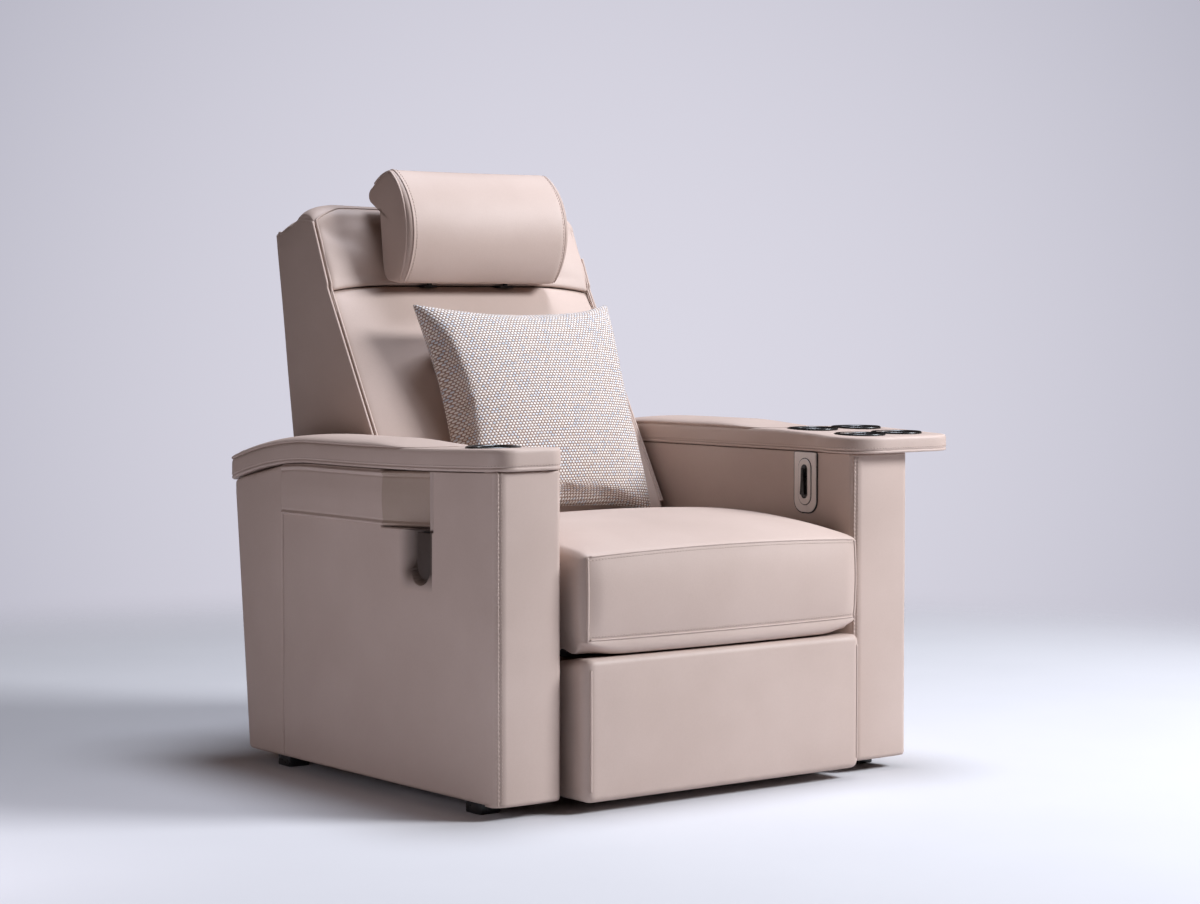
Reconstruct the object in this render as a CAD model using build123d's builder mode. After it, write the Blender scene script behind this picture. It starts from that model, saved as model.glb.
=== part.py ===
from build123d import *
import os
from math import cos, radians, sin, sqrt

os.makedirs("parts", exist_ok=True)

# A home-cinema recliner with box arms, a tray on the right arm, a swinging footrest, a hinged back and a
# tilting headrest. Millimetres, Z up, the sitter faces -Y, the origin on the floor under the chair's middle.

# Place of the seat in the frame: the tray stands out on the right, so the seat's middle is left of X = 0
SEAT_X = -54
ARM_FRONT_Y = -460

# Fits
SKIN_GAP = 0.3           # between upholstered pieces that lie against each other
PIVOT_GAP = 0.05         # round a pin in its bore
LAYER_GAP = 0.5          # between neighbouring link bars

# Arms
SEAT_OPENING = 662       # clear width between the arms
ARM_WIDTH = 134
ARM_BASE_Z = 22
ARM_TOP_Z = 582          # underside of the arm caps
PANEL = 18               # thickness of an upholstered panel
FRONT_WALL = 15
FRONT_WRAP = 40          # how far the front panel runs back along the sides
ARM_CORNER_R = 14
ARM_SEAM_D = 685         # seam between the side panels and the rear panel
ARM_REAR_BASE_D = 825
ARM_REAR_TOP_D = 871
POST_FRONT_D = 365
POST_REAR_D = 640
POST_DEPTH = 25
ARM_RAIL = 30
ARM_RAIL_TOP_Z = 552

# Arm caps and elbow pads
CAP_THICK = 34
CAP_OVERHANG = 4
CAP_NOSE = 10
CAP_TAIL = 7
CAP_CORNER_R = 20
CAP_BEND_D = 600         # the cap is level up to here
CAP_DIP_D = 745
CAP_DIP = 19
CAP_REAR_DROP = 52
PAD_FRONT_D = 252
PAD_REAR_D = 868
PAD_INSET = 9
PAD_HEIGHT = 15
PAD_TIP = 4

# Tray on the right arm
TRAY_OUTER = 578
TRAY_NOSE = 25
TRAY_CORNER_R = 52
TRAY_INNER_R = 30
TRAY_WAIST_D = 175       # the tray's outer edge is straight up to here
TRAY_END_D = 325         # and has come back to the arm here

# Cup holders and coaster wells
CUP_R = 41
CUP_WALL = 2.5
CUP_DEPTH = 72
CUP_FLANGE_R = 48
CUP_FLANGE = 3
CUP_CLEAR = 0.4
WELL_DEPTH = 20
LEFT_CUP_D = 107
CUP_FRONT_D = 60
CUP_REAR_D = 190
WELL_X = 510

# Band, recess and release paddle on the left arm
BAND_THICK = 5
BAND_REAR_D = 684
BAND_FLAT_D = 356        # the band is flat behind this depth and curves inward ahead of it
BAND_LOW_Z = 473
BAND_CAP_GAP = 6
RECESS_FRONT_D = 196
RECESS_SLOT_D = 261
RECESS_STEP_Z = 469
RECESS_LOW_Z = 378
RECESS_DEPTH = 28
RECESS_WALL = 2.5
RECESS_R = 28
BAND_END_GAP = 1.5
PADDLE_THICK = 5
PADDLE_GAP = 2
PADDLE_PIN_R = 2
PADDLE_SINK = 13         # from the arm's face to the paddle's face

# Control on the right arm's inner face
PLATE_FRONT_D = 100
PLATE_WIDTH = 60
PLATE_LOW_Z = 473
PLATE_THICK = 2
PLATE_R = 22
PLATE_TOP_GAP = 2
HOUSING_WIDTH = 24
HOUSING_LOW_Z = 494
HOUSING_HEIGHT = 72
HOUSING_DEPTH = 16
BEZEL_WIDTH = 34
BEZEL_HEIGHT = 86
BEZEL_PROUD = 2.5
LEVER_TOP = 5
LEVER_FOOT = 11
LEVER_HEIGHT = 50
LEVER_PROUD = 8
LEVER_PIN_R = 1.5
LEVER_SLOT_GAP = 1.3

# Base
FOOT_SIZE = 45
FOOT_FRONT_D = 75
FOOT_REAR_D = 690
FOOT_EDGE_GAP = 15
RAIL_WIDTH = 25
RAIL_LOW_Z = 42
RAIL_HEIGHT = 40
RAIL_FRONT_D = 225
RAIL_REAR_D = 815
CROSS_TUBE = 25
TUBE_WALL = 2.5

# Side plates and link pivots, as depth behind the arms' front and height
PLATE_STEEL = 4
PIVOT_A = (115, 218.2)
PIVOT_B = (165, 246.6)
BACK_PIN_R = 6
LINK_PIN_R = 5
JOURNAL_R = 6
FRONT_LINK = 175.3
FRONT_LINK_ANGLE = -96.27
OUTER_LINK = 170
OUTER_LINK_ANGLE = 75.69
LINK_SPREAD = 35
LINK_SPREAD_ANGLE = 105.7
TAIL = 35
TAIL_ANGLE = 172.25
BAR_STEEL = 4
BAR_R = 9
TAIL_PLAY = 2.3          # the rear link's far eye is open by this much

# Seat
SEAT_RAIL = 25
SEAT_RAIL_LOW_Z = 260
SEAT_RAIL_HEIGHT = 30
SEAT_RAIL_FRONT_D = 30
SEAT_RAIL_REAR_D = 545
HINGE_SETBACK = 55       # the back's pivot behind the end of the seat rail
PIVOT_BACK = (SEAT_RAIL_REAR_D + HINGE_SETBACK, 344)
STRAP = 2
STRAP_WIDTH = 50
STRAP_PITCH = 65
STRAP_COUNT = 7
STRAP_FIRST_D = 85
SEAT_HALF = 311
SEAT_FRONT_D = -46
SEAT_BOW = 14
SEAT_REAR_D = 505
SEAT_LIP_D = 30
SEAT_LIP_DROP = 23
SEAT_SEAM_LOW = 2
SEAT_SEAM_Z = 437
SEAT_BULGE = 14
SEAT_CROWN = 22
SEAT_REAR_Z = 442
SEAT_EDGE = 58           # width over which the seat's sides round off
SEAT_TUCK = 24
CUSHION_EDGE = 22        # width over which a cushion's ends draw in
CUSHION_TUCK = 11
END_TURNS = (0, 22, 42, 60, 76, 90)

# Footrest
FOOTREST_HALF = 318
FOOTREST_FRONT_D = -42
FOOTREST_BACK_D = 50
FOOTREST_LOW_Z = 19
FOOTREST_TOP_Z = 253
FOOTREST_CORNER_R = 36
FOOTREST_EDGE_R = 20
FOOTREST_CROWN = 5
BOARD = 15
BOARD_INSET = 14
FLANGE_WIDTH = 30

# Drives
DRIVE_X = 70
DRIVE_RAIL_WIDTH = 40
DRIVE_RAIL_HEIGHT = 25
FOOT_DRIVE_FRONT_D = 96
DRIVE_TAIL = 215          # from the back's pivot to the rear end of its drive
DRIVE_REAR_D = PIVOT_BACK[0] + DRIVE_TAIL
FOOT_DRIVE_REAR_D = 515
BACK_DRIVE_FRONT_D = 485
SHOE_LENGTH = 40
SHOE_WALL = 4
SHOE_GAP = 0.4
FORK_THICK = 8
FORK_TOP_Z = 176
FORK_PRONG = 8
FOOT_FORK_REACH = 60
FOOT_FORK_PLAY = 2.4
BACK_FORK_PLAY = 1.0
LEVER_THICK = 8
FOOT_LEVER = 70
FOOT_LEVER_ANGLE = -132.5
BACK_LEVER = 170
BACK_LEVER_ANGLE = -110
TORQUE_TUBE_R = 8
TORQUE_AXIS = (155, 228)
MOTOR_LENGTH = 85
MOTOR_WIDTH = 60
MOTOR_HEIGHT = 60
MOTOR_CAN_R = 21
MOTOR_CAN_LENGTH = 70
POWER_BOX_X = 200
POWER_BOX_WIDTH = 120
POWER_BOX_DEPTH = 110
POWER_BOX_HEIGHT = 42
INLET_R = 8

# Back
BACK_HALF = 311
BACK_BASE_Z = 364
BACK_SEAM_Z = 890
BACK_SEAM_GAP = 8
BACK_FRAME_TOP_Z = 976
FRAME_FOOT_D = 700
FRAME_DEPTH = 32
FRAME_SLOPE = 0.326      # depth gained per unit of height
UPRIGHT = 30
CROSS_BAR = 30
HINGE_ARM = 10
BACK_REAR_D = 869
BACK_REAR_SLOPE = 0.151
SEAT_BACK_GAP = 7
BACK_LAP = 15
BACK_FOOT_D = SEAT_REAR_D + SEAT_BACK_GAP
BACK_LAP_D = BACK_FOOT_D + BACK_LAP
BACK_LAP_Z = 465
BACK_TOP_FRONT_D = 770
BACK_CROWN = 16
BACK_SIDE_CROWN = 4
UPPER_FRONT_D = 830
UPPER_FRONT_Z = 1036
UPPER_TOP_D = 850
UPPER_TOP_Z = 1051
UPPER_REAR_Z = 1008
UPPER_CROWN = 6
UPPER_BROW_DROP = 4

# Headrest
HEADREST_HALF = 188
HEADREST_AXIS = (757, 922)
HEADREST_ROD_R = 4
ROD_END_GAP = 1
HEADREST_ROD = 300
HEADREST_ARM_X = 90
HEADREST_ARM = 30
HEADREST_BAR = 4
HEADREST_EAR = 6
HEADREST_EAR_R = 9
HEADREST_NECK = 8
HEADREST_SLOT_REACH = 18
HEADREST_SLOT_GAP = 4
HEADREST_LOW = (718, 901)
HEADREST_NOSE = (681, 1004)
HEADREST_TOP = (752, 1116)
HEADREST_HOOK = (824, 1068)
HEADREST_STEP = (783, 1053)
HEADREST_HEEL = (771, 927)
HEADREST_TUCK = 7
HEADREST_EDGE = 14

# Throw pillow
PILLOW_X = 25
PILLOW_SET = 51.6        # from the back's foot to the pillow's middle
PILLOW_D = BACK_FOOT_D + PILLOW_SET
PILLOW_Z = 650.55
PILLOW_TILT = 20
PILLOW_HALF = 232
PILLOW_RISE = 218
PILLOW_WAIST = 12        # the sides draw in by this much between the corners
PILLOW_FRONT = 78
PILLOW_REAR = 34
PILLOW_LIP = 5


def across(x):
    """X of a point that lies x to the right of the seat's middle plane."""
    return SEAT_X + x


def deep(d):
    """Y of a point that lies d behind the arms' front plane."""
    return ARM_FRONT_Y + d


def at(point):
    """Sketch point on a YZ plane, from a depth and a height."""
    return (deep(point[0]), point[1])


def side_plane(side, near, far):
    """YZ plane at the lower X of a stretch between two distances out from the seat's middle plane."""
    return Plane.YZ.offset(SEAT_X + min(side * near, side * far))


def swing(pivot, length, angle):
    """Point at a length and angle from a pivot, the angle counted upward from straight ahead."""
    return (pivot[0] - length * cos(radians(angle)), pivot[1] + length * sin(radians(angle)))


def block_at(x0, x1, d0, d1, z0, z1):
    """Location of the middle of a block given by its limits from the seat's middle and the arms' front."""
    return Location((across((x0 + x1) / 2), deep((d0 + d1) / 2), (z0 + z1) / 2))


def pin_at(x0, x1, point):
    """Location of a pin that runs across the chair between two distances from the seat's middle plane."""
    return Location((across((x0 + x1) / 2), deep(point[0]), point[1]), (0, 90, 0))


def cap_under(d):
    """Height of an arm cap's underside: level, then a dip, then a gentle fall to the rear."""
    if d <= CAP_BEND_D:
        return ARM_TOP_Z
    if d <= CAP_DIP_D:
        return ARM_TOP_Z - CAP_DIP * (d - CAP_BEND_D) / (CAP_DIP_D - CAP_BEND_D)
    rest = (d - CAP_DIP_D) / (ARM_REAR_TOP_D - CAP_DIP_D)
    return ARM_TOP_Z - CAP_DIP - (CAP_REAR_DROP - CAP_DIP) * rest


def arm_rear(z):
    """Depth of the arm's slanting rear face at a height."""
    rise = (z - ARM_BASE_Z) / (cap_under(ARM_REAR_TOP_D) - ARM_BASE_Z)
    return ARM_REAR_BASE_D + (ARM_REAR_TOP_D - ARM_REAR_BASE_D) * rise


def frame_front(z):
    """Depth of the front plane of the back's frame, where the cushions lie."""
    return FRAME_FOOT_D - FRAME_DEPTH / 2 + FRAME_SLOPE * (z - BACK_BASE_Z)


def back_rear(z):
    """Depth of the back's outer rear face."""
    return BACK_REAR_D + BACK_REAR_SLOPE * (z - BACK_BASE_Z)


def stations(half, edge):
    """Places across a cushion where its section is drawn, closer together where the ends round off."""
    flat = half - edge
    right = [flat * share for share in (0.3, 0.55, 0.78)]
    right += [flat + edge * sin(radians(turn)) for turn in END_TURNS]
    return [-x for x in reversed(right)] + [0] + right


def drawn_in(x, half, edge, tuck):
    """How far a cushion's section is drawn in at a place across it."""
    beyond = min(1, max(0, abs(x) - (half - edge)) / edge)
    return tuck * (1 - sqrt(1 - beyond ** 2))


ARM_INNER = SEAT_OPENING / 2
ARM_OUTER = ARM_INNER + ARM_WIDTH
ARM_MIDDLE = ARM_INNER + ARM_WIDTH / 2
CAP_TOP_Z = ARM_TOP_Z + CAP_THICK
RAIL_INNER = ARM_INNER - RAIL_WIDTH
RAIL_TOP_Z = RAIL_LOW_Z + RAIL_HEIGHT
SEAT_DECK_Z = SEAT_RAIL_LOW_Z + SEAT_RAIL_HEIGHT + STRAP

# Layers of steel inward from the side plates; the rear links run on the plates' outer faces
LAYER = BAR_STEEL + LAYER_GAP
PLATE_IN = RAIL_INNER - PLATE_STEEL
OUTER_LINK_IN = PLATE_IN - LAYER
FRONT_LINK_IN = OUTER_LINK_IN - LAYER
INNER_LINK_IN = FRONT_LINK_IN - LAYER
BRACKET_IN = INNER_LINK_IN - LAYER
REAR_LINK_IN = RAIL_INNER + LAYER_GAP

# Link pivots at rest
PIVOT_E = swing(PIVOT_A, FRONT_LINK, FRONT_LINK_ANGLE)
PIVOT_C = swing(PIVOT_E, OUTER_LINK, OUTER_LINK_ANGLE)
PIVOT_G = swing(PIVOT_E, LINK_SPREAD, LINK_SPREAD_ANGLE)
PIVOT_D = (PIVOT_C[0] + PIVOT_G[0] - PIVOT_E[0], PIVOT_C[1] + PIVOT_G[1] - PIVOT_E[1])
PIVOT_F = swing(PIVOT_E, TAIL, TAIL_ANGLE)

for side, name in ((-1, "left"), (1, "right")):
    # Arm carcass: two posts and two rails of wood inside the box
    with BuildPart() as arm_posts:
        posts = ((POST_FRONT_D, ARM_TOP_Z), (POST_REAR_D, ARM_RAIL_TOP_Z))
        for post_d, post_top in posts:
            near, far = side * (ARM_INNER + PANEL), side * (ARM_OUTER - PANEL)
            with Locations(block_at(near, far, post_d, post_d + POST_DEPTH, ARM_BASE_Z, post_top)):
                Box(ARM_WIDTH - 2 * PANEL, POST_DEPTH, post_top - ARM_BASE_Z)
    arm_posts.part.label = f"{name}_arm_posts"
    export_step(arm_posts.part, f"parts/{name}_arm_posts.step")

    with BuildPart() as arm_rails:
        rail_d = POST_FRONT_D + POST_DEPTH
        for rail_z in (ARM_BASE_Z, ARM_RAIL_TOP_Z - ARM_RAIL):
            with Locations(block_at(near, far, rail_d, POST_REAR_D, rail_z, rail_z + ARM_RAIL)):
                Box(ARM_WIDTH - 2 * PANEL, POST_REAR_D - rail_d, ARM_RAIL)
    arm_rails.part.label = f"{name}_arm_rails"
    export_step(arm_rails.part, f"parts/{name}_arm_rails.step")

    # Upholstered side panels between the front and rear panels; the outer left one is cut for the recess,
    # the inner right one for the control
    with BuildPart() as arm_outer_panel:
        with BuildSketch(side_plane(side, ARM_OUTER - PANEL, ARM_OUTER)):
            with BuildLine():
                Polyline(
                    at((FRONT_WRAP, ARM_BASE_Z)),
                    at((ARM_SEAM_D, ARM_BASE_Z)),
                    at((ARM_SEAM_D, cap_under(ARM_SEAM_D))),
                    at((CAP_BEND_D, ARM_TOP_Z)),
                    at((FRONT_WRAP, ARM_TOP_Z)),
                    close=True,
                )
            make_face()
            if name == "left":
                with BuildSketch(mode=Mode.SUBTRACT):
                    with BuildLine():
                        Polyline(
                            at((RECESS_FRONT_D, RECESS_LOW_Z + RECESS_R)),
                            at((RECESS_FRONT_D, ARM_TOP_Z + RECESS_R)),
                            at((BAND_FLAT_D, ARM_TOP_Z + RECESS_R)),
                            at((BAND_FLAT_D, RECESS_STEP_Z)),
                            at((RECESS_SLOT_D, RECESS_STEP_Z)),
                            at((RECESS_SLOT_D, RECESS_LOW_Z + RECESS_R)),
                        )
                        RadiusArc(
                            at((RECESS_SLOT_D, RECESS_LOW_Z + RECESS_R)),
                            at((RECESS_SLOT_D - RECESS_R, RECESS_LOW_Z)),
                            RECESS_R,
                        )
                        Line(
                            at((RECESS_SLOT_D - RECESS_R, RECESS_LOW_Z)),
                            at((RECESS_FRONT_D + RECESS_R, RECESS_LOW_Z)),
                        )
                        RadiusArc(
                            at((RECESS_FRONT_D + RECESS_R, RECESS_LOW_Z)),
                            at((RECESS_FRONT_D, RECESS_LOW_Z + RECESS_R)),
                            RECESS_R,
                        )
                    make_face()
                    offset(amount=SKIN_GAP)
        extrude(amount=PANEL)
    arm_outer_panel.part.label = f"{name}_arm_outer_panel"
    export_step(arm_outer_panel.part, f"parts/{name}_arm_outer_panel.step")

    with BuildPart() as arm_inner_panel:
        with BuildSketch(side_plane(side, ARM_INNER, ARM_INNER + PANEL)):
            with BuildLine():
                Polyline(
                    at((FRONT_WRAP, ARM_BASE_Z)),
                    at((ARM_SEAM_D, ARM_BASE_Z)),
                    at((ARM_SEAM_D, cap_under(ARM_SEAM_D))),
                    at((CAP_BEND_D, ARM_TOP_Z)),
                    at((FRONT_WRAP, ARM_TOP_Z)),
                    close=True,
                )
            make_face()
            if name == "right":
                hole_d = PLATE_FRONT_D + PLATE_WIDTH / 2
                with Locations(at((hole_d, HOUSING_LOW_Z + HOUSING_HEIGHT / 2))):
                    Rectangle(
                        HOUSING_WIDTH + 2 * SKIN_GAP,
                        HOUSING_HEIGHT + 2 * SKIN_GAP,
                        mode=Mode.SUBTRACT,
                    )
        extrude(amount=PANEL)
    arm_inner_panel.part.label = f"{name}_arm_inner_panel"
    export_step(arm_inner_panel.part, f"parts/{name}_arm_inner_panel.step")

    # Front panel: a channel that wraps the front of the arm, with rounded corners
    with BuildPart() as arm_front_panel:
        with BuildSketch(Plane.XY.offset(ARM_BASE_Z)) as front_outline:
            with Locations((across(side * ARM_MIDDLE), deep(FRONT_WRAP / 2))):
                Rectangle(ARM_WIDTH, FRONT_WRAP)
            fillet(front_outline.vertices().group_by(Axis.Y)[0], ARM_CORNER_R)
            with Locations((across(side * ARM_MIDDLE), deep((FRONT_WALL + FRONT_WRAP) / 2))):
                Rectangle(ARM_WIDTH - 2 * PANEL, FRONT_WRAP - FRONT_WALL, mode=Mode.SUBTRACT)
        extrude(amount=ARM_TOP_Z - ARM_BASE_Z)
    arm_front_panel.part.label = f"{name}_arm_front_panel"
    export_step(arm_front_panel.part, f"parts/{name}_arm_front_panel.step")

    # Rear panel: a channel that closes the rear of the arm, its back slanting out towards the top
    with BuildPart() as arm_rear_panel:
        with BuildSketch(side_plane(side, ARM_INNER, ARM_OUTER)):
            with BuildLine():
                Polyline(
                    at((ARM_SEAM_D, ARM_BASE_Z)),
                    at((ARM_REAR_BASE_D, ARM_BASE_Z)),
                    at((ARM_REAR_TOP_D, cap_under(ARM_REAR_TOP_D))),
                    at((CAP_DIP_D, cap_under(CAP_DIP_D))),
                    at((ARM_SEAM_D, cap_under(ARM_SEAM_D))),
                    close=True,
                )
            make_face()
        extrude(amount=ARM_WIDTH)
        with BuildSketch(side_plane(side, ARM_INNER + PANEL, ARM_OUTER - PANEL)):
            with BuildLine():
                Polyline(
                    at((ARM_SEAM_D, ARM_BASE_Z)),
                    at((ARM_REAR_BASE_D - PANEL, ARM_BASE_Z)),
                    at((arm_rear(ARM_TOP_Z) - PANEL, ARM_TOP_Z)),
                    at((ARM_SEAM_D, ARM_TOP_Z)),
                    close=True,
                )
            make_face()
        extrude(amount=ARM_WIDTH - 2 * PANEL, mode=Mode.SUBTRACT)
    arm_rear_panel.part.label = f"{name}_arm_rear_panel"
    export_step(arm_rear_panel.part, f"parts/{name}_arm_rear_panel.step")

    # Arm cap: a leather-wrapped board that dips at the rear; the right one flares out into the tray
    cap_rear_d = ARM_REAR_TOP_D + CAP_TAIL
    cap_in, cap_out = ARM_INNER - CAP_OVERHANG, ARM_OUTER + CAP_OVERHANG
    with BuildPart() as arm_cap:
        with BuildSketch(Plane.XY.offset(cap_under(cap_rear_d))) as cap_plan:
            if name == "left":
                with Locations((across(-ARM_MIDDLE), deep((cap_rear_d - CAP_NOSE) / 2))):
                    Rectangle(cap_out - cap_in, cap_rear_d + CAP_NOSE)
                fillet(cap_plan.vertices(), CAP_CORNER_R)
            else:
                half_way = ((TRAY_OUTER + cap_out) / 2, (TRAY_WAIST_D + TRAY_END_D) / 2)
                waist = (across(TRAY_OUTER), deep(TRAY_WAIST_D))
                middle = (across(half_way[0]), deep(half_way[1]))
                tray_end = (across(cap_out), deep(TRAY_END_D))
                with BuildLine():
                    Polyline(
                        tray_end,
                        (across(cap_out), deep(cap_rear_d)),
                        (across(cap_in), deep(cap_rear_d)),
                        (across(cap_in), deep(-TRAY_NOSE)),
                        (across(TRAY_OUTER), deep(-TRAY_NOSE)),
                        waist,
                    )
                    TangentArc(waist, middle, tangent=(0, 1))
                    TangentArc(tray_end, middle, tangent=(0, -1))
                make_face()
                fillet(cap_plan.vertices().group_by(Axis.Y)[0].sort_by(Axis.X)[0], TRAY_INNER_R)
                fillet(cap_plan.vertices().group_by(Axis.Y)[0].sort_by(Axis.X)[-1], TRAY_CORNER_R)
                fillet(cap_plan.vertices().group_by(Axis.Y)[-1], CAP_CORNER_R)
        extrude(amount=CAP_REAR_DROP + CAP_THICK + CAP_THICK)
        with BuildSketch(side_plane(side, cap_in, max(cap_out, TRAY_OUTER))):
            with BuildLine():
                front_d = -max(CAP_NOSE, TRAY_NOSE)
                profile = ((front_d, ARM_TOP_Z), (CAP_BEND_D, ARM_TOP_Z), (CAP_DIP_D, cap_under(CAP_DIP_D)))
                profile += ((cap_rear_d, cap_under(cap_rear_d)),)
                top = tuple((d, z + CAP_THICK) for d, z in reversed(profile))
                Polyline(*(at(point) for point in profile + top), close=True)
            make_face()
        extrude(amount=max(cap_out, TRAY_OUTER) - cap_in, mode=Mode.INTERSECT)
        if name == "left":
            with Locations((across(-ARM_MIDDLE), deep(LEFT_CUP_D), CAP_TOP_Z)):
                Hole(CUP_R + CUP_CLEAR)
        else:
            for cup_d in (CUP_FRONT_D, CUP_REAR_D):
                with Locations((across(ARM_MIDDLE), deep(cup_d), CAP_TOP_Z)):
                    Hole(CUP_R + CUP_CLEAR)
                with Locations((across(WELL_X), deep(cup_d), CAP_TOP_Z)):
                    Hole(CUP_R + CUP_CLEAR, depth=WELL_DEPTH)
    arm_cap.part.label = f"{name}_arm_cap"
    export_step(arm_cap.part, f"parts/{name}_arm_cap.step")

    # Elbow pad: a soft crowned pad sewn on the cap, thin at the front end
    with BuildPart() as elbow_pad:
        pad_half = (cap_out - cap_in) / 2 - PAD_INSET
        heights = (
            (PAD_FRONT_D, PAD_TIP),
            (PAD_FRONT_D + PAD_HEIGHT * 2, PAD_HEIGHT * 0.8),
            (CAP_BEND_D, PAD_HEIGHT),
            (CAP_DIP_D, PAD_HEIGHT * 1.15),
            (PAD_REAR_D, PAD_TIP),
        )
        for pad_d, pad_h in heights:
            seat_z = cap_under(pad_d) + CAP_THICK
            middle_x = across(side * ARM_MIDDLE)
            with BuildSketch(Plane.XZ.offset(-deep(pad_d))):
                with BuildLine():
                    Line((middle_x - pad_half, seat_z), (middle_x + pad_half, seat_z))
                    Line((middle_x + pad_half, seat_z), (middle_x + pad_half, seat_z + pad_h * 0.45))
                    ThreePointArc(
                        (middle_x + pad_half, seat_z + pad_h * 0.45),
                        (middle_x, seat_z + pad_h),
                        (middle_x - pad_half, seat_z + pad_h * 0.45),
                    )
                    Line((middle_x - pad_half, seat_z + pad_h * 0.45), (middle_x - pad_half, seat_z))
                make_face()
        loft(ruled=True)
    elbow_pad.part.label = f"{name}_elbow_pad"
    export_step(elbow_pad.part, f"parts/{name}_elbow_pad.step")

# Band on the left arm: flat against the panel, then curving inward into the recess
band_end_d = RECESS_FRONT_D + RECESS_WALL + BAND_END_GAP
band_end_x = -(ARM_OUTER - RECESS_DEPTH + RECESS_WALL + BAND_END_GAP + BAND_THICK)
with BuildPart() as left_side_band:
    with BuildSketch(Plane.XY.offset(BAND_LOW_Z)):
        with BuildLine():
            bend_d = BAND_FLAT_D - RECESS_WALL - SKIN_GAP
            outer_flat = (across(-ARM_OUTER - BAND_THICK), deep(bend_d))
            outer_end = (across(band_end_x), deep(band_end_d))
            inner_flat = (across(-ARM_OUTER), deep(bend_d))
            inner_end = (across(band_end_x + BAND_THICK), deep(band_end_d))
            TangentArc(outer_flat, outer_end, tangent=(0, -1))
            Line(outer_end, inner_end)
            TangentArc(inner_flat, inner_end, tangent=(0, -1))
            Polyline(
                inner_flat,
                (across(-ARM_OUTER), deep(BAND_REAR_D)),
                (across(-ARM_OUTER - BAND_THICK), deep(BAND_REAR_D)),
                outer_flat,
            )
        make_face()
    extrude(amount=ARM_TOP_Z - BAND_CAP_GAP - BAND_LOW_Z)
    with BuildSketch(side_plane(-1, ARM_INNER, ARM_OUTER + BAND_THICK)):
        with BuildLine():
            Polyline(
                at((RECESS_FRONT_D, BAND_LOW_Z)),
                at((BAND_REAR_D, BAND_LOW_Z)),
                at((BAND_REAR_D, cap_under(BAND_REAR_D) - BAND_CAP_GAP)),
                at((CAP_BEND_D, ARM_TOP_Z - BAND_CAP_GAP)),
                at((RECESS_FRONT_D, ARM_TOP_Z - BAND_CAP_GAP)),
                close=True,
            )
        make_face()
    extrude(amount=ARM_WIDTH + BAND_THICK, mode=Mode.INTERSECT)
left_side_band.part.label = "left_side_band"
export_step(left_side_band.part, "parts/left_side_band.step")

# Recess liner: a shallow cup let into the left arm, a wide part behind the band over a rounded slot
paddle_axis = (ARM_OUTER - PADDLE_SINK - PADDLE_THICK / 2, RECESS_STEP_Z - 4 * PADDLE_PIN_R)
with BuildPart() as release_cup:
    with BuildSketch(side_plane(-1, ARM_OUTER - RECESS_DEPTH, ARM_OUTER)) as recess_outline:
        with BuildLine():
            Polyline(
                at((RECESS_FRONT_D, RECESS_LOW_Z + RECESS_R)),
                at((RECESS_FRONT_D, ARM_TOP_Z)),
                at((BAND_FLAT_D, ARM_TOP_Z)),
                at((BAND_FLAT_D, RECESS_STEP_Z)),
                at((RECESS_SLOT_D, RECESS_STEP_Z)),
                at((RECESS_SLOT_D, RECESS_LOW_Z + RECESS_R)),
            )
            RadiusArc(
                at((RECESS_SLOT_D, RECESS_LOW_Z + RECESS_R)),
                at((RECESS_SLOT_D - RECESS_R, RECESS_LOW_Z)),
                RECESS_R,
            )
            Line(at((RECESS_SLOT_D - RECESS_R, RECESS_LOW_Z)), at((RECESS_FRONT_D + RECESS_R, RECESS_LOW_Z)))
            RadiusArc(
                at((RECESS_FRONT_D + RECESS_R, RECESS_LOW_Z)),
                at((RECESS_FRONT_D, RECESS_LOW_Z + RECESS_R)),
                RECESS_R,
            )
        make_face()
    extrude(amount=RECESS_DEPTH)
    with BuildSketch(side_plane(-1, ARM_OUTER - RECESS_DEPTH + RECESS_WALL, ARM_OUTER)):
        add(recess_outline.sketch_local)
        offset(amount=-RECESS_WALL, mode=Mode.REPLACE)
    extrude(amount=RECESS_DEPTH - RECESS_WALL, mode=Mode.SUBTRACT)
    paddle_line = Location((across(-paddle_axis[0]), deep(RECESS_FRONT_D), paddle_axis[1]), (-90, 0, 0))
    with Locations(paddle_line):
        bore_length = RECESS_SLOT_D - RECESS_FRONT_D + RECESS_WALL
        Cylinder(
            PADDLE_PIN_R + PIVOT_GAP,
            2 * bore_length,
            align=(Align.CENTER, Align.CENTER, Align.CENTER),
            mode=Mode.SUBTRACT,
        )
release_cup.part.label = "release_cup"
export_step(release_cup.part, "parts/release_cup.step")

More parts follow.
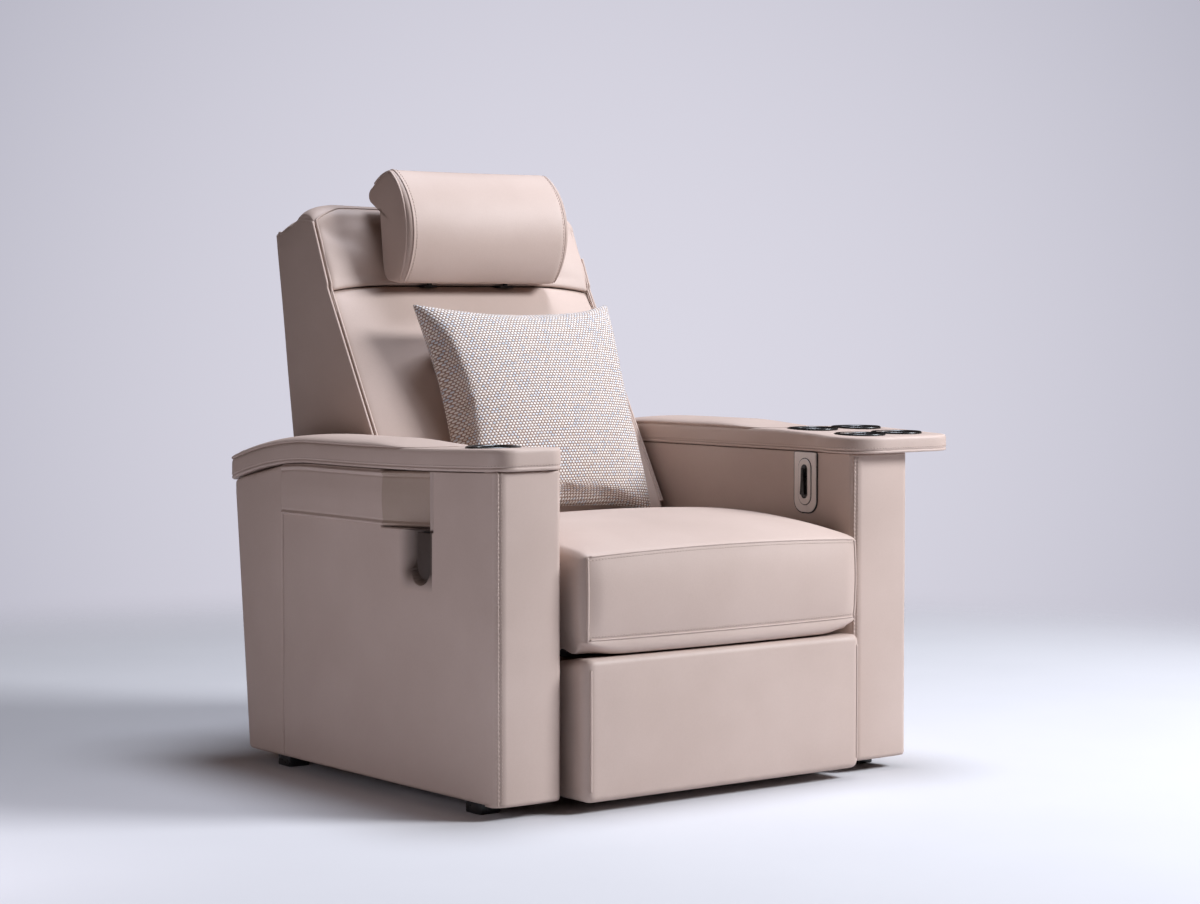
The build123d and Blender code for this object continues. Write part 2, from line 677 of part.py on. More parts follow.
# Release paddle: a flap in the slot, hung on two stub pins near its top edge
paddle_front_d = RECESS_FRONT_D + RECESS_WALL + PADDLE_GAP
paddle_rear_d = RECESS_SLOT_D - RECESS_WALL - PADDLE_GAP
paddle_low_z = RECESS_LOW_Z + RECESS_WALL + PADDLE_GAP
paddle_top_z = RECESS_STEP_Z - PADDLE_PIN_R
with BuildPart() as release_paddle:
    with BuildSketch(side_plane(-1, ARM_OUTER - PADDLE_SINK - PADDLE_THICK, ARM_OUTER - PADDLE_SINK)) as flap:
        paddle_middle = ((paddle_front_d + paddle_rear_d) / 2, (paddle_low_z + paddle_top_z) / 2)
        with Locations(at(paddle_middle)):
            Rectangle(paddle_rear_d - paddle_front_d, paddle_top_z - paddle_low_z)
        fillet(flap.vertices().group_by(Axis.Z)[0], RECESS_R - RECESS_WALL - PADDLE_GAP)
    extrude(amount=PADDLE_THICK)
    pin_length = RECESS_SLOT_D - RECESS_FRONT_D - RECESS_WALL
    pin_middle_d = (RECESS_FRONT_D + RECESS_SLOT_D) / 2
    with Locations(Location((across(-paddle_axis[0]), deep(pin_middle_d), paddle_axis[1]), (90, 0, 0))):
        Cylinder(PADDLE_PIN_R, pin_length)
release_paddle.part.label = "release_paddle"
export_step(release_paddle.part, "parts/release_paddle.step")

# Cup holder in the left arm: a flanged cup that hangs in the cap
with BuildPart() as left_cup_holder:
    with Locations((across(-ARM_MIDDLE), deep(LEFT_CUP_D), CAP_TOP_Z)):
        Cylinder(CUP_FLANGE_R, CUP_FLANGE, align=(Align.CENTER, Align.CENTER, Align.MIN))
        Cylinder(CUP_R, CUP_DEPTH, align=(Align.CENTER, Align.CENTER, Align.MAX))
    with Locations((across(-ARM_MIDDLE), deep(LEFT_CUP_D), CAP_TOP_Z - CUP_DEPTH + CUP_WALL)):
        Cylinder(
            CUP_R - CUP_WALL,
            CUP_DEPTH + CUP_FLANGE,
            align=(Align.CENTER, Align.CENTER, Align.MIN),
            mode=Mode.SUBTRACT,
        )
left_cup_holder.part.label = "left_cup_holder"
export_step(left_cup_holder.part, "parts/left_cup_holder.step")

# Two deep cups in the right arm, and two shallow wells in the tray's overhang
with BuildPart() as right_cup_holders:
    for cup_d in (CUP_FRONT_D, CUP_REAR_D):
        with Locations((across(ARM_MIDDLE), deep(cup_d), CAP_TOP_Z)):
            Cylinder(CUP_FLANGE_R, CUP_FLANGE, align=(Align.CENTER, Align.CENTER, Align.MIN))
            Cylinder(CUP_R, CUP_DEPTH, align=(Align.CENTER, Align.CENTER, Align.MAX))
        with Locations((across(ARM_MIDDLE), deep(cup_d), CAP_TOP_Z - CUP_DEPTH + CUP_WALL)):
            Cylinder(
                CUP_R - CUP_WALL,
                CUP_DEPTH + CUP_FLANGE,
                align=(Align.CENTER, Align.CENTER, Align.MIN),
                mode=Mode.SUBTRACT,
            )
right_cup_holders.part.label = "right_cup_holders"
export_step(right_cup_holders.part, "parts/right_cup_holders.step")

with BuildPart() as right_coasters:
    for cup_d in (CUP_FRONT_D, CUP_REAR_D):
        with Locations((across(WELL_X), deep(cup_d), CAP_TOP_Z)):
            Cylinder(CUP_FLANGE_R, CUP_FLANGE, align=(Align.CENTER, Align.CENTER, Align.MIN))
            Cylinder(CUP_R, WELL_DEPTH, align=(Align.CENTER, Align.CENTER, Align.MAX))
        with Locations((across(WELL_X), deep(cup_d), CAP_TOP_Z - WELL_DEPTH + CUP_WALL)):
            Cylinder(
                CUP_R - CUP_WALL,
                WELL_DEPTH + CUP_FLANGE,
                align=(Align.CENTER, Align.CENTER, Align.MIN),
                mode=Mode.SUBTRACT,
            )
right_coasters.part.label = "right_coasters"
export_step(right_coasters.part, "parts/right_coasters.step")

# Control on the right arm: a metal plate, a housing let into the panel, and a tapered lever on stub pins
control_d = PLATE_FRONT_D + PLATE_WIDTH / 2
control_z = HOUSING_LOW_Z + HOUSING_HEIGHT / 2
plate_top_z = ARM_TOP_Z - PLATE_TOP_GAP
with BuildPart() as control_plate:
    with BuildSketch(Plane.YZ.offset(across(ARM_INNER - PLATE_THICK))) as plate_outline:
        with Locations(at((control_d, (PLATE_LOW_Z + plate_top_z) / 2))):
            Rectangle(PLATE_WIDTH, plate_top_z - PLATE_LOW_Z)
        fillet(plate_outline.vertices().group_by(Axis.Z)[0], PLATE_R)
        with Locations(at((control_d, control_z))):
            Rectangle(HOUSING_WIDTH + 2 * SKIN_GAP, HOUSING_HEIGHT + 2 * SKIN_GAP, mode=Mode.SUBTRACT)
    extrude(amount=PLATE_THICK)
control_plate.part.label = "control_plate"
export_step(control_plate.part, "parts/control_plate.step")

lever_low_z = control_z - LEVER_HEIGHT / 2
lever_top_z = control_z + LEVER_HEIGHT / 2
lever_back_x = ARM_INNER + HOUSING_DEPTH / 2
lever_pin_x = lever_back_x - 2 * LEVER_PIN_R
bezel_face_x = ARM_INNER - PLATE_THICK - BEZEL_PROUD
with BuildPart() as control_housing:
    with BuildSketch(Plane.YZ.offset(across(bezel_face_x))):
        with Locations(at((control_d, control_z))):
            SlotOverall(BEZEL_HEIGHT, BEZEL_WIDTH, rotation=90)
    extrude(amount=BEZEL_PROUD)
    with BuildSketch(Plane.YZ.offset(across(bezel_face_x))):
        with Locations(at((control_d, control_z))):
            Rectangle(HOUSING_WIDTH, HOUSING_HEIGHT)
    extrude(amount=BEZEL_PROUD + PLATE_THICK + HOUSING_DEPTH)
    with BuildSketch(Plane.YZ.offset(across(bezel_face_x))):
        with BuildLine():
            Polyline(
                at((control_d - LEVER_FOOT / 2 - LEVER_SLOT_GAP, lever_low_z - 2 * LEVER_SLOT_GAP)),
                at((control_d + LEVER_FOOT / 2 + LEVER_SLOT_GAP, lever_low_z - 2 * LEVER_SLOT_GAP)),
                at((control_d + LEVER_TOP / 2 + LEVER_SLOT_GAP, lever_top_z + 2 * LEVER_SLOT_GAP)),
                at((control_d - LEVER_TOP / 2 - LEVER_SLOT_GAP, lever_top_z + 2 * LEVER_SLOT_GAP)),
                close=True,
            )
        make_face()
    extrude(amount=BEZEL_PROUD + PLATE_THICK + HOUSING_DEPTH - RECESS_WALL, mode=Mode.SUBTRACT)
    with Locations(Location((across(lever_pin_x), deep(control_d), control_z), (90, 0, 0))):
        Cylinder(LEVER_PIN_R + PIVOT_GAP, HOUSING_WIDTH, mode=Mode.SUBTRACT)
control_housing.part.label = "control_housing"
export_step(control_housing.part, "parts/control_housing.step")

with BuildPart() as control_lever:
    with BuildSketch(Plane.YZ.offset(across(bezel_face_x - LEVER_PROUD))):
        with BuildLine():
            Polyline(
                at((control_d - LEVER_FOOT / 2, lever_low_z)),
                at((control_d + LEVER_FOOT / 2, lever_low_z)),
                at((control_d + LEVER_TOP / 2, lever_top_z)),
                at((control_d - LEVER_TOP / 2, lever_top_z)),
                close=True,
            )
        make_face()
    extrude(amount=lever_back_x - bezel_face_x + LEVER_PROUD)
    with Locations(Location((across(lever_pin_x), deep(control_d), control_z), (90, 0, 0))):
        Cylinder(LEVER_PIN_R, HOUSING_WIDTH - 2 * LEVER_PIN_R)
control_lever.part.label = "control_lever"
export_step(control_lever.part, "parts/control_lever.step")

# Glides: the front pair under the inner edge of the arms, the rear pair under the outer edge
with BuildPart() as glide_feet:
    for side in (-1, 1):
        foot_x = side * (ARM_OUTER - FOOT_EDGE_GAP - FOOT_SIZE / 2)
        for foot_d in (FOOT_FRONT_D, FOOT_REAR_D):
            with Locations((across(foot_x), deep(foot_d + FOOT_SIZE / 2), 0)):
                Box(FOOT_SIZE, FOOT_SIZE, ARM_BASE_Z, align=(Align.CENTER, Align.CENTER, Align.MIN))
glide_feet.part.label = "glide_feet"
export_step(glide_feet.part, "parts/glide_feet.step")

# Steel base between the arms
with BuildPart() as base_side_rails:
    for side in (-1, 1):
        near, far = side * RAIL_INNER, side * ARM_INNER
        with Locations(block_at(near, far, RAIL_FRONT_D, RAIL_REAR_D, RAIL_LOW_Z, RAIL_TOP_Z)):
            Box(RAIL_WIDTH, RAIL_REAR_D - RAIL_FRONT_D, RAIL_HEIGHT)
base_side_rails.part.label = "base_side_rails"
export_step(base_side_rails.part, "parts/base_side_rails.step")

CROSS_TUBE_D = (RAIL_FRONT_D, BACK_DRIVE_FRONT_D, RAIL_REAR_D - CROSS_TUBE)
with BuildPart() as base_cross_tubes:
    for tube_d in CROSS_TUBE_D:
        tube_rear = tube_d + CROSS_TUBE
        with Locations(block_at(-RAIL_INNER, RAIL_INNER, tube_d, tube_rear, RAIL_LOW_Z, RAIL_TOP_Z)):
            Box(2 * RAIL_INNER, CROSS_TUBE, RAIL_HEIGHT)
            Box(
                2 * RAIL_INNER,
                CROSS_TUBE - 2 * TUBE_WALL,
                RAIL_HEIGHT - 2 * TUBE_WALL,
                mode=Mode.SUBTRACT,
            )
base_cross_tubes.part.label = "base_cross_tubes"
export_step(base_cross_tubes.part, "parts/base_cross_tubes.step")

# Side plates: each is fixed to a base rail and carries the link pivots, the seat rail and the back's pivot
PLATE_FOOT_GAP = 10
PLATE_FOOT_FRONT_D = RAIL_FRONT_D + CROSS_TUBE + PLATE_FOOT_GAP
PLATE_FOOT_REAR_D = BACK_DRIVE_FRONT_D - PLATE_FOOT_GAP
PLATE_EDGE = 18
with BuildPart() as mechanism_side_plates:
    for side in (-1, 1):
        with BuildSketch(side_plane(side, PLATE_IN, RAIL_INNER)):
            with BuildLine():
                Polyline(
                    at((PIVOT_A[0] - PLATE_EDGE, PIVOT_A[1] - PLATE_EDGE)),
                    at((PLATE_FOOT_FRONT_D, PIVOT_A[1] - 2 * PLATE_EDGE)),
                    at((PLATE_FOOT_FRONT_D, RAIL_LOW_Z)),
                    at((PLATE_FOOT_REAR_D, RAIL_LOW_Z)),
                    at((PLATE_FOOT_REAR_D, RAIL_TOP_Z + PLATE_EDGE)),
                    at((PIVOT_BACK[0] + PLATE_EDGE, PIVOT_BACK[1] - PLATE_EDGE)),
                    at((PIVOT_BACK[0] + PLATE_EDGE, PIVOT_BACK[1])),
                    at((PIVOT_BACK[0] - PLATE_EDGE, PIVOT_BACK[1])),
                    at((SEAT_RAIL_REAR_D, SEAT_RAIL_LOW_Z + SEAT_RAIL_HEIGHT)),
                    at((PIVOT_B[0], SEAT_RAIL_LOW_Z + SEAT_RAIL_HEIGHT)),
                    at((PIVOT_A[0] - PLATE_EDGE, PIVOT_A[1] + PLATE_EDGE)),
                    close=True,
                )
            make_face()
            with Locations(at(PIVOT_BACK)):
                Circle(PLATE_EDGE)
            with Locations(at(PIVOT_A)):
                Circle(JOURNAL_R + PIVOT_GAP, mode=Mode.SUBTRACT)
        extrude(amount=PLATE_STEEL)
        with Locations(pin_at(side * PLATE_IN, side * (REAR_LINK_IN + BAR_STEEL), PIVOT_B)):
            Cylinder(LINK_PIN_R, REAR_LINK_IN + BAR_STEEL - PLATE_IN)
        back_arm_out = BACK_HALF - PANEL
        with Locations(pin_at(side * PLATE_IN, side * (back_arm_out + LAYER_GAP), PIVOT_BACK)):
            Cylinder(BACK_PIN_R + BAR_STEEL, PLATE_IN - back_arm_out - LAYER_GAP)
        with Locations(pin_at(side * PLATE_IN, side * (back_arm_out - HINGE_ARM), PIVOT_BACK)):
            Cylinder(BACK_PIN_R, PLATE_IN - back_arm_out + HINGE_ARM)
mechanism_side_plates.part.label = "mechanism_side_plates"
export_step(mechanism_side_plates.part, "parts/mechanism_side_plates.step")

# Footrest linkage, a bar of each kind on both sides
with BuildPart() as front_links:
    for side in (-1, 1):
        with BuildSketch(side_plane(side, FRONT_LINK_IN, FRONT_LINK_IN + BAR_STEEL)) as bar:
            with Locations(at(PIVOT_A)):
                Circle(BAR_R + BAR_STEEL)
            with Locations(at(PIVOT_E), at(PIVOT_G)):
                Circle(BAR_R)
            make_hull(bar.edges())
        extrude(amount=BAR_STEEL)
        with BuildSketch(side_plane(side, FRONT_LINK_IN, FRONT_LINK_IN + BAR_STEEL)) as ear:
            with Locations(at(PIVOT_A), at(TORQUE_AXIS)):
                Circle(TORQUE_TUBE_R + BAR_STEEL)
            make_hull(ear.edges())
        extrude(amount=BAR_STEEL)
        with Locations(pin_at(side * FRONT_LINK_IN, side * RAIL_INNER, PIVOT_A)):
            Cylinder(JOURNAL_R, RAIL_INNER - FRONT_LINK_IN)
        with Locations(pin_at(side * FRONT_LINK_IN, side * (OUTER_LINK_IN + BAR_STEEL), PIVOT_E)):
            Cylinder(LINK_PIN_R, OUTER_LINK_IN + BAR_STEEL - FRONT_LINK_IN)
        with Locations(pin_at(side * INNER_LINK_IN, side * (FRONT_LINK_IN + BAR_STEEL), PIVOT_G)):
            Cylinder(LINK_PIN_R, FRONT_LINK_IN + BAR_STEEL - INNER_LINK_IN)
front_links.part.label = "front_links"
export_step(front_links.part, "parts/front_links.step")

with BuildPart() as torque_tube:
    with Locations(pin_at(-FRONT_LINK_IN, FRONT_LINK_IN, TORQUE_AXIS)):
        Cylinder(TORQUE_TUBE_R, 2 * FRONT_LINK_IN)
torque_tube.part.label = "torque_tube"
export_step(torque_tube.part, "parts/torque_tube.step")

foot_lever_pin = swing(PIVOT_A, FOOT_LEVER, FOOT_LEVER_ANGLE)
with BuildPart() as footrest_lever:
    with BuildSketch(Plane.YZ.offset(across(DRIVE_X - LEVER_THICK / 2))) as arm:
        with Locations(at(TORQUE_AXIS)):
            Circle(TORQUE_TUBE_R + BAR_STEEL)
        with Locations(at(foot_lever_pin)):
            Circle(BAR_R)
        make_hull(arm.edges())
        with Locations(at(TORQUE_AXIS)):
            Circle(TORQUE_TUBE_R, mode=Mode.SUBTRACT)
    extrude(amount=LEVER_THICK)
    pin_far_x = DRIVE_X + LEVER_THICK / 2 + FORK_THICK + 4 * LAYER_GAP
    with Locations(pin_at(DRIVE_X, pin_far_x, foot_lever_pin)):
        Cylinder(LINK_PIN_R, pin_far_x - DRIVE_X)
footrest_lever.part.label = "footrest_lever"
export_step(footrest_lever.part, "parts/footrest_lever.step")

with BuildPart() as outer_links:
    for side in (-1, 1):
        with BuildSketch(side_plane(side, OUTER_LINK_IN, OUTER_LINK_IN + BAR_STEEL)) as bar:
            with Locations(at(PIVOT_E), at(PIVOT_C), at(PIVOT_F)):
                Circle(BAR_R)
            make_hull(bar.edges())
            with Locations(at(PIVOT_E), at(PIVOT_C)):
                Circle(LINK_PIN_R + PIVOT_GAP, mode=Mode.SUBTRACT)
        extrude(amount=BAR_STEEL)
        with Locations(pin_at(side * OUTER_LINK_IN, side * (REAR_LINK_IN + BAR_STEEL), PIVOT_F)):
            Cylinder(LINK_PIN_R, REAR_LINK_IN + BAR_STEEL - OUTER_LINK_IN)
outer_links.part.label = "outer_links"
export_step(outer_links.part, "parts/outer_links.step")

with BuildPart() as inner_links:
    for side in (-1, 1):
        with BuildSketch(side_plane(side, INNER_LINK_IN, INNER_LINK_IN + BAR_STEEL)) as bar:
            with Locations(at(PIVOT_G), at(PIVOT_D)):
                Circle(BAR_R - BAR_STEEL / 4)
            make_hull(bar.edges())
            with Locations(at(PIVOT_G), at(PIVOT_D)):
                Circle(LINK_PIN_R + PIVOT_GAP, mode=Mode.SUBTRACT)
        extrude(amount=BAR_STEEL)
inner_links.part.label = "inner_links"
export_step(inner_links.part, "parts/inner_links.step")

with BuildPart() as rear_links:
    for side in (-1, 1):
        with BuildSketch(side_plane(side, REAR_LINK_IN, REAR_LINK_IN + BAR_STEEL)) as bar:
            with Locations(at(PIVOT_B)):
                Circle(BAR_R)
            with Locations(at(PIVOT_F)):
                Circle(BAR_R + TAIL_PLAY)
            make_hull(bar.edges())
            with Locations(at(PIVOT_B)):
                Circle(LINK_PIN_R + PIVOT_GAP, mode=Mode.SUBTRACT)
            with Locations(at(PIVOT_F)):
                Circle(LINK_PIN_R + TAIL_PLAY, mode=Mode.SUBTRACT)
        extrude(amount=BAR_STEEL)
rear_links.part.label = "rear_links"
export_step(rear_links.part, "parts/rear_links.step")

# Footrest: brackets on the last pivots, a board, and a padded cover with rounded ends
board_back_d = FOOTREST_BACK_D + BOARD
with BuildPart() as footrest_brackets:
    for side in (-1, 1):
        with BuildSketch(side_plane(side, BRACKET_IN, BRACKET_IN + BAR_STEEL)) as ear:
            with Locations(at(PIVOT_C), at(PIVOT_D)):
                Circle(BAR_R)
            with Locations(at((board_back_d + BAR_STEEL / 2, PIVOT_C[1] - FLANGE_WIDTH))):
                Circle(BAR_STEEL / 2)
            with Locations(at((board_back_d + BAR_STEEL / 2, PIVOT_D[1]))):
                Circle(BAR_STEEL / 2)
            make_hull(ear.edges())
        extrude(amount=BAR_STEEL)
        flange_low_z = FOOTREST_LOW_Z + FLANGE_WIDTH
        near, far = side * (BRACKET_IN + BAR_STEEL - FLANGE_WIDTH), side * (BRACKET_IN + BAR_STEEL)
        with Locations(block_at(near, far, board_back_d, board_back_d + BAR_STEEL, flange_low_z, PIVOT_D[1])):
            Box(FLANGE_WIDTH, BAR_STEEL, PIVOT_D[1] - flange_low_z)
        with Locations(pin_at(side * BRACKET_IN, side * (OUTER_LINK_IN + BAR_STEEL), PIVOT_C)):
            Cylinder(LINK_PIN_R, OUTER_LINK_IN + BAR_STEEL - BRACKET_IN)
        with Locations(pin_at(side * BRACKET_IN, side * (INNER_LINK_IN + BAR_STEEL), PIVOT_D)):
            Cylinder(LINK_PIN_R, INNER_LINK_IN + BAR_STEEL - BRACKET_IN)
footrest_brackets.part.label = "footrest_brackets"
export_step(footrest_brackets.part, "parts/footrest_brackets.step")

board_half = FOOTREST_HALF - BOARD_INSET
board_low_z, board_top_z = FOOTREST_LOW_Z + BOARD_INSET, FOOTREST_TOP_Z - BOARD_INSET / 2
with BuildPart() as footrest_board:
    board_front_d = FOOTREST_BACK_D
    with Locations(block_at(-board_half, board_half, board_front_d, board_back_d, board_low_z, board_top_z)):
        Box(2 * board_half, BOARD, board_top_z - board_low_z)
footrest_board.part.label = "footrest_board"
export_step(footrest_board.part, "parts/footrest_board.step")

corner_in = FOOTREST_HALF - FOOTREST_CORNER_R
corner_steps = [FOOTREST_CORNER_R * sin(radians(turn)) for turn in END_TURNS]
footrest_right = [corner_in + step for step in corner_steps]
footrest_x = [-x for x in reversed(footrest_right)] + [0] + footrest_right
with BuildPart() as footrest_pad:
    for x in footrest_x:
        beyond = max(0, abs(x) - corner_in)
        setback = FOOTREST_CORNER_R - sqrt(FOOTREST_CORNER_R ** 2 - beyond ** 2)
        tuck = CUSHION_TUCK * (setback / FOOTREST_CORNER_R) ** 2
        face_d = FOOTREST_FRONT_D + FOOTREST_CROWN + setback
        low_z, high_z = FOOTREST_LOW_Z + tuck, FOOTREST_TOP_Z - tuck
        edge = FOOTREST_EDGE_R
        bevel = edge * (1 - cos(radians(45)))
        with BuildSketch(Plane.YZ.offset(across(x))):
            with BuildLine():
                Polyline(
                    at((face_d + edge, low_z)),
                    at((FOOTREST_BACK_D, low_z)),
                    at((FOOTREST_BACK_D, high_z)),
                    at((face_d + edge, high_z)),
                )
                ThreePointArc(
                    at((face_d + edge, high_z)),
                    at((face_d + bevel, high_z - bevel)),
                    at((face_d, high_z - edge)),
                )
                ThreePointArc(
                    at((face_d, high_z - edge)),
                    at((face_d - FOOTREST_CROWN, (low_z + high_z) / 2)),
                    at((face_d, low_z + edge)),
                )
                ThreePointArc(
                    at((face_d, low_z + edge)),
                    at((face_d + bevel, low_z + bevel)),
                    at((face_d + edge, low_z)),
                )
            make_face()
    loft(ruled=True)
footrest_pad.part.label = "footrest_pad"
export_step(footrest_pad.part, "parts/footrest_pad.step")

# Seat frame, webbing and cushion
with BuildPart() as seat_side_rails:
    rail_top_z = SEAT_RAIL_LOW_Z + SEAT_RAIL_HEIGHT
    for side in (-1, 1):
        near, far = side * (PLATE_IN - SEAT_RAIL), side * PLATE_IN
        with Locations(block_at(near, far, SEAT_RAIL_FRONT_D, SEAT_RAIL_REAR_D, SEAT_RAIL_LOW_Z, rail_top_z)):
            Box(SEAT_RAIL, SEAT_RAIL_REAR_D - SEAT_RAIL_FRONT_D, SEAT_RAIL_HEIGHT)
seat_side_rails.part.label = "seat_side_rails"
export_step(seat_side_rails.part, "parts/seat_side_rails.step")

with BuildPart() as seat_cross_rails:
    reach = PLATE_IN - SEAT_RAIL
    for rail_d in (SEAT_RAIL_FRONT_D, SEAT_RAIL_REAR_D - SEAT_RAIL):
        with Locations(block_at(-reach, reach, rail_d, rail_d + SEAT_RAIL, SEAT_RAIL_LOW_Z, rail_top_z)):
            Box(2 * reach, SEAT_RAIL, SEAT_RAIL_HEIGHT)
seat_cross_rails.part.label = "seat_cross_rails"
export_step(seat_cross_rails.part, "parts/seat_cross_rails.step")

with BuildPart() as seat_webbing:
    for index in range(STRAP_COUNT):
        strap_d = STRAP_FIRST_D + index * STRAP_PITCH
        with Locations(block_at(-PLATE_IN, PLATE_IN, strap_d - STRAP_WIDTH / 2, strap_d + STRAP_WIDTH / 2,
                                rail_top_z, SEAT_DECK_Z)):
            Box(2 * PLATE_IN, STRAP_WIDTH, STRAP)
seat_webbing.part.label = "seat_webbing"
export_step(seat_webbing.part, "parts/seat_webbing.step")

with BuildPart() as seat_cushion:
    for x in stations(SEAT_HALF, SEAT_EDGE):
        tuck = drawn_in(x, SEAT_HALF, SEAT_EDGE, SEAT_TUCK)
        nose_d = SEAT_FRONT_D + SEAT_BOW * (x / SEAT_HALF) ** 2 + tuck
        seam_d = nose_d + SEAT_BULGE
        low_z = SEAT_DECK_Z + SEAT_SEAM_LOW
        seam_z = SEAT_SEAM_Z - tuck / 2
        lip_z = SEAT_DECK_Z - SEAT_LIP_DROP + tuck / 2
        lip_foot_d = SEAT_LIP_D - SEAT_LIP_DROP / 2
        crown = SEAT_CROWN * (1 - 0.5 * (x / SEAT_HALF) ** 2)
        with BuildSketch(Plane.YZ.offset(across(x))):
            with BuildLine():
                Polyline(
                    at((SEAT_REAR_D, SEAT_REAR_Z - tuck)),
                    at((SEAT_REAR_D, SEAT_DECK_Z)),
                    at((SEAT_LIP_D, SEAT_DECK_Z)),
                    at((lip_foot_d, lip_z)),
                )
                ThreePointArc(
                    at((lip_foot_d, lip_z)),
                    at((seam_d + 0.3 * (lip_foot_d - seam_d), lip_z + 0.22 * (low_z - lip_z))),
                    at((seam_d, low_z)),
                )
                ThreePointArc(
                    at((seam_d, low_z)),
                    at((nose_d, (low_z + seam_z) / 2)),
                    at((seam_d, seam_z)),
                )
                ThreePointArc(
                    at((seam_d, seam_z)),
                    at(((seam_d + SEAT_REAR_D) / 2, (seam_z + SEAT_REAR_Z) / 2 + crown - tuck)),
                    at((SEAT_REAR_D, SEAT_REAR_Z - tuck)),
                )
            make_face()
    loft(ruled=True)
seat_cushion.part.label = "seat_cushion"
export_step(seat_cushion.part, "parts/seat_cushion.step")

# Motor drives: closed rails on the base tubes, a gear motor on each, and sliding shoes with forks
drive_low_z, drive_top_z = RAIL_TOP_Z, RAIL_TOP_Z + DRIVE_RAIL_HEIGHT
shoe_top_z = drive_top_z + SHOE_GAP + SHOE_WALL
back_lever_pin = swing(PIVOT_BACK, BACK_LEVER, BACK_LEVER_ANGLE)
drives = (
    ("footrest", DRIVE_X, FOOT_DRIVE_FRONT_D, FOOT_DRIVE_REAR_D, FOOT_DRIVE_REAR_D - MOTOR_LENGTH),
    ("recline", -DRIVE_X, BACK_DRIVE_FRONT_D, DRIVE_REAR_D, DRIVE_REAR_D - MOTOR_LENGTH),
)
for name, rail_x, front_d, rear_d, motor_d in drives:
    with BuildPart() as drive_rail:
        near, far = rail_x - DRIVE_RAIL_WIDTH / 2, rail_x + DRIVE_RAIL_WIDTH / 2
        with Locations(block_at(near, far, front_d, rear_d, drive_low_z, drive_top_z)):
            Box(DRIVE_RAIL_WIDTH, rear_d - front_d, DRIVE_RAIL_HEIGHT)
    drive_rail.part.label = f"{name}_rail"
    export_step(drive_rail.part, f"parts/{name}_rail.step")

    with BuildPart() as motor:
        near, far = rail_x - MOTOR_WIDTH / 2, rail_x + MOTOR_WIDTH / 2
        motor_top_z = drive_top_z + MOTOR_HEIGHT
        with Locations(block_at(near, far, motor_d, motor_d + MOTOR_LENGTH, drive_top_z, motor_top_z)):
            Box(MOTOR_WIDTH, MOTOR_LENGTH, MOTOR_HEIGHT)
        fillet(motor.edges().filter_by(Axis.Z), MOTOR_WIDTH / 10)
        can_middle = (motor_d + MOTOR_LENGTH / 2, drive_top_z + MOTOR_HEIGHT / 2)
        away = 1 if rail_x > 0 else -1
        can_near, can_far = rail_x, rail_x + away * (MOTOR_WIDTH / 2 + MOTOR_CAN_LENGTH)
        with Locations(pin_at(can_near, can_far, can_middle)):
            Cylinder(MOTOR_CAN_R, MOTOR_WIDTH / 2 + MOTOR_CAN_LENGTH)
    motor.part.label = f"{name}_motor"
    export_step(motor.part, f"parts/{name}_motor.step")

carriages = (
    ("footrest", DRIVE_X, foot_lever_pin[0], FOOT_FORK_REACH, FOOT_FORK_PLAY),
    ("recline", -DRIVE_X, back_lever_pin[0], 0, BACK_FORK_PLAY),
)
for name, rail_x, pin_d, reach, play in carriages:
    with BuildPart() as carriage:
        shoe_half = DRIVE_RAIL_WIDTH / 2 + SHOE_GAP + SHOE_WALL
        shoe_d = pin_d + reach
        shoe_low_z = drive_low_z + SHOE_GAP
        near_d, far_d = shoe_d - SHOE_LENGTH / 2, shoe_d + SHOE_LENGTH / 2
        near, far = rail_x - shoe_half, rail_x + shoe_half
        with Locations(block_at(near, far, near_d, far_d, shoe_low_z, shoe_top_z)):
            Box(2 * shoe_half, SHOE_LENGTH, shoe_top_z - shoe_low_z)
        rail_half = DRIVE_RAIL_WIDTH / 2 + SHOE_GAP
        rail_room_z = drive_top_z + SHOE_GAP
        near, far = rail_x - rail_half, rail_x + rail_half
        with Locations(block_at(near, far, near_d, far_d, shoe_low_z, rail_room_z)):
            Box(2 * rail_half, SHOE_LENGTH, rail_room_z - shoe_low_z, mode=Mode.SUBTRACT)
        fork_near = rail_x + LEVER_THICK / 2 + 2 * LAYER_GAP
        fork_far = fork_near + FORK_THICK
        slot_half = LINK_PIN_R + play
        prong_out = slot_half + FORK_PRONG
        arm_top_z = shoe_top_z + FORK_PRONG
        arm_front_d, arm_rear_d = pin_d - prong_out, max(far_d, pin_d + prong_out)
        arm_low_z = shoe_top_z - SHOE_WALL
        with Locations(block_at(fork_near, fork_far, arm_front_d, arm_rear_d, arm_low_z, arm_top_z)):
            Box(FORK_THICK, arm_rear_d - arm_front_d, arm_top_z - arm_low_z)
        for toward in (-1, 1):
            inner_d, outer_d = pin_d + toward * slot_half, pin_d + toward * prong_out
            with Locations(block_at(fork_near, fork_far, inner_d, outer_d, arm_top_z, FORK_TOP_Z)):
                Box(FORK_THICK, FORK_PRONG, FORK_TOP_Z - arm_top_z)
    carriage.part.label = f"{name}_carriage"
    export_step(carriage.part, f"parts/{name}_carriage.step")

